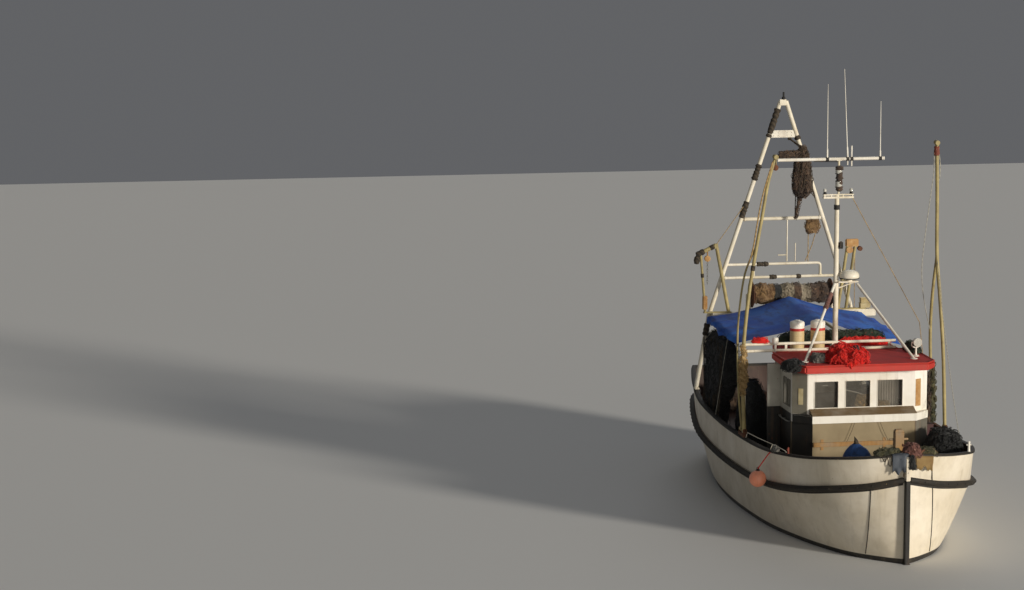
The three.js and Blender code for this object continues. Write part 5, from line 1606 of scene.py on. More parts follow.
def buildAframe():
    r, y, front = aframe["radius"], aframe["y"], aframe["front"]
    for name, side in (("port", 1), ("starboard", -1)):
        bm = bmesh.new()
        levels = (1.82, 2.6, 3.3, 3.45, 3.6, 4.6, 5.8, 7.0, 8.13)
        addTube(bm, [legPoint(z, side) for z in levels], r, 20)
        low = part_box("aframe_leg_" + name)[0]
        foot = side * aframe["line"][0][0]
        inner, outer = sorted((foot - side * 0.062, foot + side * 0.035))
        addBox(bm, (inner, y - 0.09, low[2]), (outer, y + 0.09, 1.85), 0.006)
        for dy in (-0.07, 0.07):
            addRound(bm, [(0.012, 0), (0.012, 0.012)], (foot - side * 0.045, y + dy, 1.85), sides=6)
        if name == "port":
            # cap plates over the apex, and the pin that stands on them
            addBox(bm, (-0.09, front - 0.012, 8.04), (0.06, y - 0.022, 8.168), 0.006)
        makePiece("aframe_tube_" + name, bm, gearCream, slot="gear_cream", stands=("aframe_leg_" + name,))
        bm = bmesh.new()
        for z0, z1 in aframe["wraps"][name]:
            turns = int((z1 - z0) / 0.035)
            rows = [(r - 0.004, 0.0)]
            rows += [(r + 0.016 + 0.008 * (k % 2) + 0.022 * noise.noise(Vector((z0, 1.3 * k, side))),
                      0.01 + 0.035 * k) for k in range(turns)]
            rows.append((r - 0.004, 0.035 * turns))
            start = legPoint(z0, side)
            addTurned(bm, rows, start, (legPoint(z1, side) - start).normalized(), 16)
        makePiece("aframe_wraps_" + name, bm, ropeDark, slot="net_black")
    bm = bmesh.new()
    addTube(bm, [(0, front + 0.02, 8.1), (0, front + 0.02, 8.328)], [0.021, 0.021], 12)
    addTurned(bm, [(0.0, 0), (0.04, 0.005), (0.04, 0.05), (0.022, 0.07), (0.0, 0.07)],
              (0, front + 0.02, 8.16), sides=12)
    makePiece("aframe_apex_pin", bm, darkRubber, slot="rail_black")

    for name, ((x0, x1), z, barRadius) in aframe["bars"].items():
        bm = bmesh.new()
        addTube(bm, [(x0, y, z), (0, y, z), (x1, y, z)], barRadius, 16)
        for side in (1, -1):
            collar = side * (x1 - 0.03)
            addRound(bm, [(barRadius + 0.014, 0), (barRadius + 0.014, 0.012)], (collar - 0.006, y, z),
                     (1, 0, 0), 16)
        makePiece("aframe_" + name + "_tube", bm, gearCream, slot="gear_cream", stands=("aframe_" + name,))
    # the upper rail runs out of the starboard leg and turns down to the lower one
    bm = bmesh.new()
    bend = [(-1.22, y, 4.55), (0, y, 4.55), (0.8, y, 4.55), (0.85, y, 4.542), (0.876, y, 4.515),
            (0.88, y, 4.47), (0.88, y, 4.295)]
    addTube(bm, bend, 0.03, 16)
    addRound(bm, [(0.042, 0), (0.042, 0.014)], (0.88, y, 4.292), sides=16)
    makePiece("aframe_rail_upper_tube", bm, gearCream, slot="gear_cream", stands=("aframe_rail_upper",))
    bm = bmesh.new()
    # ropes wound round the two rails
    for z, radius, places in ((4.55, 0.032, ((-0.56, -0.3),)),
                              (4.26, 0.032, ((-0.27, -0.1), (0.34, 0.45)))):
        for x0, x1 in places:
            turns = int((x1 - x0) / 0.02)
            rows = [(radius - 0.004, 0.0)]
            rows += [(radius + 0.018 + 0.012 * noise.noise(Vector((x0, 2.3 * k, z))),
                      0.01 + 0.02 * k) for k in range(turns)]
            rows.append((radius - 0.004, 0.02 * turns + 0.01))
            addTurned(bm, rows, (x0, y, z), (1, 0, 0), 14)
    makePiece("rail_wraps", bm, ropeDark, slot="net_black")
    bm = bmesh.new()
    # a thin post and a step between the crossbar and the rails
    addTube(bm, [(0.12, y, 5.52), (0.12, y, 4.6)], 0.016, 12)
    addTube(bm, [(0.31, y, 4.6), (0.31, y, 5.0)], 0.012, 10)
    addTube(bm, [(-0.08, y, 4.74), (0.12, y, 4.74)], 0.012, 10)
    addTube(bm, [(-0.62, y, 4.53), (-0.62, y, 4.28)], 0.018, 12)
    makePiece("aframe_inner_pipes", bm, gearCream, slot="gear_cream")

    bm = bmesh.new()
    low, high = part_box("aframe_head_plate")
    addBox(bm, (low[0] + 0.001, low[1] + 0.001, 7.331), (high[0] - 0.001, high[1] - 0.001, 7.489), 0.004)
    for z in (7.35, 7.47):
        addBox(bm, (low[0] + 0.06, y - 0.034, z - 0.008), (high[0] - 0.06, y + 0.034, z + 0.008), 0.003)
    makePiece("head_plate_stiffened", bm, houseWhite, slot="house_white", stands=("aframe_head_plate",))
    bm = bmesh.new()
    for x in (-0.2, -0.1, 0.1, 0.2):
        for z in (7.38, 7.44):
            addRound(bm, [(0.012, 0), (0.012, 0.01)], (x, low[1] + 0.001, z), (0, -1, 0), 6)
    makePiece("head_plate_bolts", bm, houseWhite, slot="house_white")


buildAframe()


netDrum = {"y": 3.6, "z": 3.94}  # its axis


def buildGantry():
    low, high = 3.37, 3.52
    front = aframe["front"]
    y, z = netDrum["y"], netDrum["z"]
    bm = bmesh.new()
    addBox(bm, (-1.589, front - 0.17, low), (2.099, front - 0.0003, high), 0.008)
    for x in (-0.81, 1.05):
        addBox(bm, (x, y - 0.06, high - 0.08), (x + 0.04, front - 0.0003, 3.91), 0.006)
        addTurned(bm, [(0.0289, 0), (0.07, 0), (0.075, 0.005), (0.075, 0.035), (0.07, 0.04),
                       (0.0289, 0.04)], (x, y, z), (1, 0, 0), 24, True)
        addBox(bm, (x - 0.03, y - 0.04, high - 0.004), (x + 0.07, front - 0.004, high + 0.008), 0.003)
    for x in (-1.3, -0.3, 0.55, 1.7):
        addBox(bm, (x - 0.006, front - 0.176, low + 0.012), (x + 0.006, front - 0.16, high - 0.012), 0.003)
    makePiece("gantry_box_beam", bm, gearCream, slot="gear_cream", stands=("gantry_beam",))

    # the drum turns: shaft and flanges, with the net wound on in bundles
    bm = bmesh.new()
    addTube(bm, [(-0.812, y, z), (1.092, y, z)], 0.028, 16)
    for x in (-0.76, 1.016):
        addRound(bm, [(0.29, 0), (0.3, 0.006), (0.3, 0.018), (0.29, 0.024)], (x, y, z), (1, 0, 0), 32)
    for x in (-0.3, 0.2, 0.7):
        addRound(bm, [(0.2, 0), (0.2, 0.014)], (x, y, z), (1, 0, 0), 24)
    makePiece("drum_flanges", bm, rustySteel, "net_drum", "rusty_steel", ("net_drum",))
    for k, (x0, x1, tree) in enumerate(drumNets):
        rows = [(0.1, x0)]
        steps = max(4, round((x1 - x0) / 0.035))
        for i in range(steps + 1):
            x = x0 + (x1 - x0) * i / steps
            rows.append((0.204 + 0.018 * math.sin(x * 9.5) + 0.012 * math.sin(x * 23 + 1), x))
        rows.append((0.1, x1))
        bm = bmesh.new()
        addTurned(bm, rows, (0, y, z), (1, 0, 0), 30)
        growHeap("wound_net_%d" % (k + 1), tree, toMesh("wound_net_source", bm),
                 (0.1, 0.014, 230.0, 0.045, 0.006, 5 + k), "net_drum", "net_brown")


# the net wound on the drum, part by part along it: from, to, kind
drumNets = [
    (-0.69, -0.27, tanHeap), (-0.265, -0.1, blackHeap), (-0.095, 0.17, taupeHeap), (0.175, 0.33, brownHeap),
    (0.335, 0.55, taupeHeap), (0.555, 0.975, brownHeap),
]
buildGantry()


hungNet = {
    "place": (0.375, 3.63), "folds": 0.1,
    # radius and height
    "rows": [(0.02, 6.03), (0.1, 6.06), (0.16, 6.12), (0.2, 6.25), (0.19, 6.55), (0.15, 6.85), (0.1, 7.02),
             (0.05, 7.14), (0.02, 7.17)],
}


sternNets = [
    # name, kind, rows of x from, x to, y from, y to, z; and how many loops
    ("hung_net_arm", brownHeap, [(-0.18, 0.3, 3.56, 3.66, 6.88), (-0.18, 0.36, 3.54, 3.68, 6.95),
                                 (-0.14, 0.36, 3.56, 3.68, 7.05)], 600.0),
    ("crossbar_bundle", tanHeap, [(0.58, 0.8, 3.84, 3.96, 5.22), (0.53, 0.85, 3.82, 3.98, 5.34),
                                  (0.56, 0.84, 3.84, 3.97, 5.5)], 500.0),
]
sternLines = [
    # name, kind, cord radius, lines
    ("crossbar_bundle_ropes", tanCords, 0.01, [
        [(0.78, 3.9, 5.26), (0.68, 3.9, 4.92), (0.54, 3.9, 4.6)], [(0.6, 3.9, 5.26), (0.6, 3.9, 4.575)],
    ]),
    ("gallows_stays", tanCords, 0.008, [
        [(-0.86, 3.86, 5.86), (-1.49, 3.77, 5.04)],
        [(0.33, -0.55, 6.54), (1.8, -0.6, 3.9), (2.05, -0.62, 1.78)],
        [(1.63, 3.77, 4.82), (1.63, 3.77, 3.545)],
    ]),
    ("front_lines", darkCords, 0.004, [
        [(-0.21, -2.852, 2.25), (-0.27, -2.856, 2.08), (-0.37, -2.85, 1.86)],
        [(0.32, -2.852, 2.25), (0.4, -2.856, 2.06), (0.5, -2.85, 1.86)],
    ]),
    ("net_webbing", darkCords, 0.011, [
        [(0.5, 3.66, 6.62), (0.62, 3.8, 6.3), (0.74, 3.88, 6.04)],
        [(0.52, 3.66, 6.45), (0.64, 3.8, 6.2), (0.75, 3.88, 6.0)],
        [(0.47, 3.66, 6.3), (0.62, 3.8, 6.12), (0.76, 3.88, 5.97)],
        [(0.235, 3.64, 6.3), (0.235, 3.68, 5.62)],
    ]),
]


def buildHangingNet():
    x, y = hungNet["place"]
    bm = bmesh.new()
    rings = []
    fine = smoothRows([list(row) for row in hungNet["rows"]], 3)
    for r, z in fine:
        ring = []
        for k in range(36):
            a = 2 * math.pi * k / 36
            fold = 1 + hungNet["folds"] * math.sin(5 * a + 2.2 * z) + 0.06 * math.sin(9 * a - 3 * z)
            ring.append((x + r * fold * math.cos(a), y + r * fold * math.sin(a), z))
        rings.append(ring)
    addRings(bm, rings)
    # the tail of the net, twisted together
    tail = throughPoints([(0.36, y, 6.12), (0.315, y, 5.98), (0.27, y, 5.78), (0.228, y, 5.57)], 5)
    addTube(bm, tail, [0.05 - 0.025 * k / (len(tail) - 1) for k in range(len(tail))], 12)
    growHeap("hung_net", brownHeap, toMesh("hung_net_source", bm), (0.12, 0.02, 420.0, 0.05, 0.006, 8),
             slot="net_brown", stands=("hanging_net",))
    lines = []
    for k in range(14):
        a = 2 * math.pi * k / 14
        line = []
        for r, z in smoothRows([list(row) for row in hungNet["rows"]], 2):
            line.append((x + (r * 1.08 + 0.004) * math.cos(a + z * 0.8),
                         y + (r * 1.08 + 0.004) * math.sin(a + z * 0.8), z))
        lines.append(line)
    growCords("hung_net_lines", darkCords, lines, 0.008, 0.01, 4, slot="net_black")
    bm = bmesh.new()
    ends = Vector((x, y, 7.12)), Vector((0.15, 3.88, 7.3))
    addTube(bm, ends, 0.02, 10)
    for k in range(4):
        addTurned(bm, [(0.018, -0.016), (0.03, -0.008), (0.03, 0.008), (0.018, 0.016)],
                  ends[0].lerp(ends[1], 0.2 + 0.12 * k), ends[1] - ends[0], 10)
    addBox(bm, (0.112, 3.867, 7.272), (0.198, 3.923, 7.3295), 0.01)
    makePiece("hung_net_lashing", bm, ropeDark, slot="net_black")
    for name, tree, rows, loops in sternNets:
        growHeap(name, tree, lumpMesh(name, rows, 3, 24, 0.8), (0.1, 0.02, loops, 0.04, 0.006, 17),
                 slot="net_brown")
    for name, tree, radius, lines in sternLines:
        growCords(name, tree, lines, radius, 0.0, 2, slot="net_brown")
    # the guy from the port boom to the foredeck rail
    line = boomGuy["line"]
    growCords("boom_guy_port", greyCords, [throughPoints(line, 8)], boomGuy["radius"], 0.0, 2,
              ("boom_port", "boat", line[0], line[-1]), "net_brown")


boomGuy = {"radius": 0.007, "line": [(2.008, -1.1, 5.3), (1.94, -1.9, 3.94), (1.83, -2.9, 2.76),
                                     (1.78, -3.6, 1.93)]}
buildHangingNet()


gallows = {"y": aframe["front"] - 0.085, "foot": 3.5205}


def buildGallows():
    y, foot = gallows["y"], gallows["foot"]
    bm = bmesh.new()
    addBox(bm, (-1.779, y - 0.059, foot), (-1.161, y + 0.059, 3.5448), 0.004)
    addTube(bm, [(-1.74, y, 3.535), (-1.85, y, 4.83)], 0.028, 16)
    addTube(bm, [(-1.89, y, 4.83), (-1.53, y, 5.0)], 0.045, 16)
    addTube(bm, [(-1.5, y, 4.985), (-1.215, y, 3.535)], 0.04, 16)
    addBox(bm, (-1.559, y - 0.049, 4.941), (-1.471, y + 0.049, 5.049), 0.012)
    makePiece("gallows_tubes_starboard", bm, boomTan, slot="boom_tan", stands=("gallows_starboard",))
    # black lashings and a brown block at its head, and a hanging block on a chain
    bm = bmesh.new()
    along = (0.904, 0, 0.427)
    addTurned(bm, [(0.03, -0.1), (0.056, -0.09), (0.066, -0.05), (0.058, 0), (0.068, 0.04), (0.056, 0.09),
                   (0.03, 0.1)], (-1.86, y, 4.845), along, 16)
    addTurned(bm, [(0.04, -0.05), (0.056, -0.04), (0.056, 0.04), (0.04, 0.05)], (-1.6, y, 4.966), along, 16)
    addTurned(bm, [(0.0, -0.1), (0.05, -0.09), (0.07, -0.02), (0.062, 0.05), (0.03, 0.09), (0.0, 0.1)],
              (-1.935, y, 4.7), (0.1, 0, 1), 14)
    addTurned(bm, [(0.02, -0.05), (0.036, -0.04), (0.036, 0.04), (0.02, 0.05)], (-1.81, y, 4.35),
              (-0.08, 0, 1), 14)
    makePiece("gallows_block", bm, ropeDark, slot="net_black")
    bm = bmesh.new()
    for dy in (-0.03, 0.022):
        addRound(bm, [(0.06, 0), (0.066, 0.004), (0.06, 0.008)], (-1.7, y + dy, 4.72), (0, 1, 0), 20)
    addRound(bm, [(0.056, -0.022), (0.04, 0), (0.056, 0.022)], (-1.7, y, 4.72), (0, 1, 0), 20)
    addBox(bm, (-1.712, y - 0.025, 4.76), (-1.688, y + 0.025, 4.9), 0.006)
    # a bracket on the post's foot
    addBox(bm, (-1.8, y - 0.05, 3.6), (-1.7, y + 0.05, 3.9), 0.012)
    makePiece("towing_block", bm, ochrePaint, slot="boom_tan")
    bm = bmesh.new()
    for k in range(12):
        z = 4.62 - 0.04 * k
        across, over = (0.016, 0) if k % 2 == 0 else (0, 0.016)
        addLoop(bm, circle((-1.7, y, z), 1, 10, (across, over, 0), (0, 0, 0.026)), 0.006, 5)
    makePiece("towing_chain", bm, dullSteel, slot="steel")

    bm = bmesh.new()
    addBox(bm, (1.181, y - 0.059, foot), (1.879, y + 0.059, 3.5448), 0.004)
    addTube(bm, [(1.26, y, 3.535), (1.467, y, 5.0)], 0.035, 16)
    addTube(bm, [(1.44, y, 3.535), (1.64, y, 5.0)], 0.035, 16)
    addTube(bm, [(1.36, y, 4.15), (1.51, y, 4.15)], 0.018, 10)
    makePiece("gallows_tubes_port", bm, boomTan, slot="boom_tan", stands=("gallows_port",))
    bm = bmesh.new()
    addBox(bm, (1.411, y - 0.044, 4.901), (1.704, y + 0.044, 5.079), 0.02)
    addRound(bm, [(0.075, -0.05), (0.055, 0), (0.075, 0.05)], (1.5, y, 4.84), (0, 1, 0), 20)
    makePiece("gallows_head_port", bm, ochrePaint, slot="boom_tan")
    bm = bmesh.new()
    addRound(bm, [(0.05, -0.052), (0.055, 0), (0.05, 0.052)], (1.74, y, 4.86), (0, 1, 0), 16)
    makePiece("gallows_sheave_port", bm, rustySteel, slot="roof_red")
    # yellow fish boxes stacked on the beam's port end
    bm = bmesh.new()
    for k, (x0, x1) in enumerate(((1.76, 1.98), (1.77, 1.97))):
        z0 = 3.5465 + 0.11 * k
        addOpenBox(bm, (x0, y - 0.068, z0), (x1, y + 0.068, z0 + 0.105), 0.01)
    makePiece("fish_boxes", bm, paleOchre, slot="boom_tan")


def addOpenBox(bm, low, high, wall):
    # a box with an open top, its rim rolled outwards a little
    x0, y0, z0 = low
    x1, y1, z1 = high
    outlines = [
        (0.0, z0), (-0.004, z1 - 0.02), (-0.01, z1 - 0.014), (-0.01, z1), (wall, z1),
        (wall + 0.004, z0 + wall),
    ]
    rings = [[(x0 + d, y0 + d, z), (x1 - d, y0 + d, z), (x1 - d, y1 - d, z),
              (x0 + d, y1 - d, z)] for d, z in outlines]
    addRings(bm, rings)


buildGallows()
print("stern gear done")

# Work deck: winch, hatch and awning


def buildWinch():
    y, z, half = 1.28, 1.5, 0.48
    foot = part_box("winch_frame")[0][2]
    bm = bmesh.new()
    for x in (-half - 0.06, half + 0.01):
        addBox(bm, (x, y - 0.26, foot), (x + 0.05, y + 0.26, 1.38), 0.006)
        addBox(bm, (x + 0.004, y - 0.09, 1.35), (x + 0.046, y + 0.09, 1.47), 0.01)
        addTurned(bm, [(0.0289, 0), (0.07, 0), (0.075, 0.005), (0.075, 0.045), (0.07, 0.05),
                       (0.0289, 0.05)], (x, y, z), (1, 0, 0), 24, True)
    for side in (-1, 1):
        addBox(bm, (-half - 0.06, y + side * 0.23 - 0.03, 1.06),
               (half + 0.06, y + side * 0.23 + 0.03, 1.18), 0.008)
    makePiece("winch_bed", bm, rustySteel, slot="rusty_steel", stands=("winch_frame",))
    bm = bmesh.new()
    addTube(bm, [(-half - 0.15, y, z), (half + 0.15, y, z)], 0.028, 16)
    addTube(bm, [(-half, y, z), (half, y, z)], 0.1, 24)
    for x in (-half, -0.012, half - 0.024):
        addRound(bm, [(0.232, 0), (0.24, 0.005), (0.24, 0.019), (0.232, 0.024)], (x, y, z), (1, 0, 0), 32)
    for side in (-1, 1):
        addTurned(bm, [(0.0, 0), (0.075, 0.0), (0.055, 0.02), (0.05, 0.05), (0.07, 0.078), (0.0, 0.082)],
                  (side * (half + 0.065), y, z), (side, 0, 0), 20)
    makePiece("winch_drum_casting", bm, rustySteel, "winch_drum", "rusty_steel", ("winch_drum",))
    # wire wound on each half: a helix, turn beside turn
    for wireName, x0, x1 in (("inner", -0.45, -0.02), ("outer", 0.02, 0.45)):
        growPiece("winch_wire_" + wireName, helixTree, lineMesh("axis", [[(x0, y, z), (x1, y, z)]]),
                  {"Turns": 26.0, "Coil Radius": 0.145, "Wire Radius": 0.0085}, "winch_drum", "steel")


def makeHelixTree(name, material):
    # a round wire wound about the source's line, from its first point to its last
    tree, given = startTree(name, {
        "Turns": ("NodeSocketFloat", 20.0),
        "Coil Radius": ("NodeSocketFloat", 0.15),
        "Wire Radius": ("NodeSocketFloat", 0.008),
    })
    axis = addNode(tree, "GeometryNodeMeshToCurve", {"Mesh": given["Geometry"]})
    fine = addNode(tree, "GeometryNodeResampleCurve", {"Curve": axis, "Count": 420}, mode="COUNT")
    share = addNode(tree, "GeometryNodeSplineParameter").outputs["Factor"]
    around = addNode(tree, "ShaderNodeMath", {0: share, 1: given["Turns"]}, operation="MULTIPLY")
    angle = addNode(tree, "ShaderNodeMath", {0: around, 1: 2 * math.pi}, operation="MULTIPLY")
    cosine = addNode(tree, "ShaderNodeMath", {0: angle}, operation="COSINE")
    sine = addNode(tree, "ShaderNodeMath", {0: angle}, operation="SINE")
    circle = addNode(tree, "ShaderNodeCombineXYZ", {"X": 0.0, "Y": cosine, "Z": sine})
    offset = addNode(
        tree, "ShaderNodeVectorMath", {0: circle, "Scale": given["Coil Radius"]}, operation="SCALE",
    )
    coil = addNode(tree, "GeometryNodeSetPosition", {"Geometry": fine, "Offset": offset})
    section = addNode(
        tree, "GeometryNodeCurvePrimitiveCircle", {"Resolution": 6, "Radius": given["Wire Radius"]},
    )
    wire = addNode(
        tree, "GeometryNodeCurveToMesh",
        {"Curve": coil, "Profile Curve": section, "Fill Caps": True},
    )
    endTree(tree, wire, material)
    return tree


helixTree = makeHelixTree("wound_wire", wireSteel)
buildWinch()


def buildHatch():
    half, fore, aft, top, wall = 0.52, 1.96, 2.84, 1.56, 0.04
    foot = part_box("hatch_coaming")[0][2]
    bm = bmesh.new()
    outlines = [(0, foot), (0, top - 0.006), (0.006, top), (wall - 0.006, top), (wall, top - 0.006),
                (wall, foot)]
    rings = [[(-half + d, fore + d, z), (half - d, fore + d, z), (half - d, aft - d, z),
              (-half + d, aft - d, z)] for d, z in outlines]
    addRings(bm, rings, True)
    for x in (-0.3, 0.3):
        addBox(bm, (x - 0.045, 1.911, 1.47), (x - 0.0053, 1.97, 1.555), 0.003)
        addBox(bm, (x - 0.045, 1.911, 1.53), (x - 0.0053, 1.939, 1.597), 0.006)
        addTube(bm, [(x - 0.025, 1.925, 1.585), (x + 0.045, 1.925, 1.585)], 0.008, 12)
    addTube(bm, [(-half, fore + 0.02, 1.3), (-half - 0.012, fore + 0.3, 1.3), (-half, aft - 0.02, 1.3)],
            0.012, 8)
    makePiece("hatch_coaming_plates", bm, dullSteel, slot="steel", stands=("hatch_coaming",))
    bm = bmesh.new()
    z0 = 1.5606
    boards = 6
    width = (2 * half + 0.02) / boards
    for k in range(boards):
        x = -half - 0.01 + width * k
        addBox(bm, (x + 0.001, fore - 0.005, z0), (x + width - 0.001, aft + 0.015, 1.605), 0.004)
    for y in (2.12, 2.66):
        addBox(bm, (-half + 0.02, y, 1.604), (half - 0.02, y + 0.07, 1.615), 0.003)
    makePiece("hatch_lid_boards", bm, hatchTimber, "hatch_lid", "timber", ("hatch_lid",))
    bm = bmesh.new()
    for x in (-0.3, 0.3):
        addTurned(bm, [(0.009, 0), (0.018, 0), (0.018, 0.045), (0.009, 0.045)], (x - 0.005, 1.925, 1.5853),
                  (1, 0, 0), 16, True)
        addBox(bm, (x - 0.005, 1.938, 1.5773), (x + 0.04, 1.98, 1.5993), 0.003)
    addTube(bm, throughPoints([(-0.08, 2.78, 1.61), (-0.07, 2.78, 1.65), (0.07, 2.78, 1.65),
                               (0.08, 2.78, 1.61)], 4), 0.009, 8)
    makePiece("hatch_lid_ironwork", bm, dullSteel, "hatch_lid", "steel")


buildHatch()

awning = {
    "rows": [
        # y, starboard edge (x, z), port edge (x, z)
        (0.33, (-1.84, 3.44), (1.8, 3.27)), (1.25, (-1.9, 3.5), (1.78, 3.43)),
        (2.3, (-1.91, 3.54), (1.74, 3.5)), (3.23, (-1.82, 3.52), (1.64, 3.53)),
    ],
    "foreZ": 3.86, "aftZ": 3.93, "sag": 0.045, "folds": 0.012, "hem": 0.16,
}


def ridgeHeight(y):
    return awning["foreZ"] + (awning["aftZ"] - awning["foreZ"]) * (y - 0.33) / 2.9


def makeSheet(name, rows, material, closed=False, slot="tarp_blue", stands=()):
    # a cloth skin over rows of points, with its cut size measured from the skin
    bm = bmesh.new()
    made = [[bm.verts.new(p) for p in row] for row in rows]
    count = len(rows[0])
    area = 0.0
    for a, b in zip(made, made[1:]):
        for k in range(count if closed else count - 1):
            j = (k + 1) % count
            area += bm.faces.new((a[k], a[j], b[j], b[k])).calc_area()
    piece = makePiece(name, bm, material, slot=slot, stands=stands, angle=80)
    skin = piece.modifiers.new("thickness", "SOLIDIFY")
    skin.thickness = 0.002
    skin.offset = 0.0


def tarpPoint(row, share):
    # share -1 at the starboard edge, 0 on the ridge, 1 at the port edge
    y, starboardEdge, portEdge = row[0], (row[1], row[2]), (row[3], row[4])
    x, z = portEdge if share > 0 else starboardEdge
    s = abs(share)
    top = ridgeHeight(y)
    height = top + (z - top) * s - awning["sag"] * math.sin(math.pi * s)
    # folds run down from the ridge, and the edge is scalloped between its ties
    fold = awning["folds"] * s * math.sin(7.5 * y + 3 * share) + 0.008 * math.sin(16 * y + 5 * share) * s
    soft = 0.012 * noise.noise(Vector((x * s * 2.2, y * 2.2, 0.4)))
    inset = 0.05 * s * s * (0.5 - 0.5 * math.cos(2 * math.pi * (y - 0.33) / 0.725))
    return (x * s - math.copysign(inset, x), y, height - 0.011 + fold + soft)


def buildAwning():
    flatRows = [[y, *starboardEdge, *portEdge] for y, starboardEdge, portEdge in awning["rows"]]
    rows = []
    for row in smoothRows(flatRows, 14):
        cells = [tarpPoint(row, -1 + k / 15) for k in range(31)]
        # the hem hangs down along both edges
        first, last = cells[0], cells[-1]
        wave = 0.02 * math.sin(row[0] * 21)
        down = awning["hem"] * (0.75 + 0.25 * math.sin(row[0] * 4.3))
        left = [(first[0] - 0.006 + wave * 0.5, row[0], first[2] - down),
                (first[0] - 0.012 + wave * 0.3, row[0], first[2] - down * 0.5)]
        right = [(last[0] + 0.012 + wave * 0.3, row[0], last[2] - down * 0.35),
                 (last[0] + 0.006 + wave * 0.5, row[0], last[2] - down * 0.7)]
        rows.append(left + cells + right)
    makeSheet("awning_tarpaulin", rows, tarpBlue, slot="tarp_blue",
              stands=("tarp",))

    drop = 0.0526
    bm = bmesh.new()
    fore = -0.4947
    addTube(bm, [(0, fore + 0.01, ridgeHeight(fore) - drop), (0, 3.19, ridgeHeight(3.19) - drop)], 0.03, 16)
    addTube(bm, [(0, 3.08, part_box("awning_ridge")[0][2]), (0, 3.08, ridgeHeight(3.08) - drop)], 0.03, 16)
    addRound(bm, [(0.06, 0), (0.06, 0.012), (0.032, 0.02)], (0, 3.08, 1.125), sides=16)
    addBox(bm, (-0.05, fore, ridgeHeight(fore) - drop - 0.05),
           (0.05, fore + 0.03, ridgeHeight(fore) - drop + 0.04), 0.008)
    makePiece("ridge_pole", bm, boomTan, slot="boom_tan", stands=("awning_ridge",))

    # edge lines of the awning and their ties to the gantry, the house and the starboard post
    ties = [
        [(-1.83, 0.36, 3.4), (-2.05, -0.62, 3.2)], [(-1.84, 1.25, 3.46), (-2.09, 1.3, 1.72)],
        [(-1.85, 2.3, 3.48), (-1.98, 3.15, 2.9)], [(-1.76, 3.22, 3.5), (-1.6, 3.66, 3.5)],
        [(1.74, 0.36, 3.22), (1.46, -0.12, 3.46)], [(1.72, 1.25, 3.38), (2.09, 1.3, 1.72)],
        [(1.68, 2.3, 3.46), (2.06, 2.6, 1.76)], [(1.6, 3.22, 3.49), (1.66, 3.66, 3.5)],
    ]
    growCords("awning_ties", greyCords, ties, 0.005, 0.0, 2, slot="gear_cream")


buildAwning()
print("work deck done")

# Nets, heaps and covered gear
heaps = {
    "net_heap_starboard": [
        (-1.9, -1.56, 2.2, 3.00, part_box("net_heap_starboard")[0][2]), (-1.91, -1.55, 2.15, 3.02, 1.7),
        (-1.95, -1.51, 1.75, 3.05, 2.12), (-1.96, -1.5, 1.45, 3.06, 2.45), (-1.95, -1.53, 1.35, 3.05, 2.95),
        (-1.88, -1.62, 1.6, 2.96, 3.22), (-1.8, -1.7, 1.9, 2.7, 3.27),
    ],
    "net_heap_roof": [
        (-1.15, 1.17, -0.43, 0.0, roofSeat), (-1.14, 1.16, -0.42, -0.01, 3.52),
        (-1.05, 1.08, -0.38, -0.06, 3.64), (-0.85, 0.9, -0.33, -0.12, 3.69),
    ],
    "net_heap_foredeck": [
        (1.2, 1.76, -3.9, -2.75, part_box("net_heap_foredeck")[0][2]), (1.18, 1.82, -3.9, -2.72, 1.5),
        (1.24, 1.82, -3.8, -2.78, 1.86), (1.38, 1.74, -3.6, -2.92, 2.1),
    ],
}


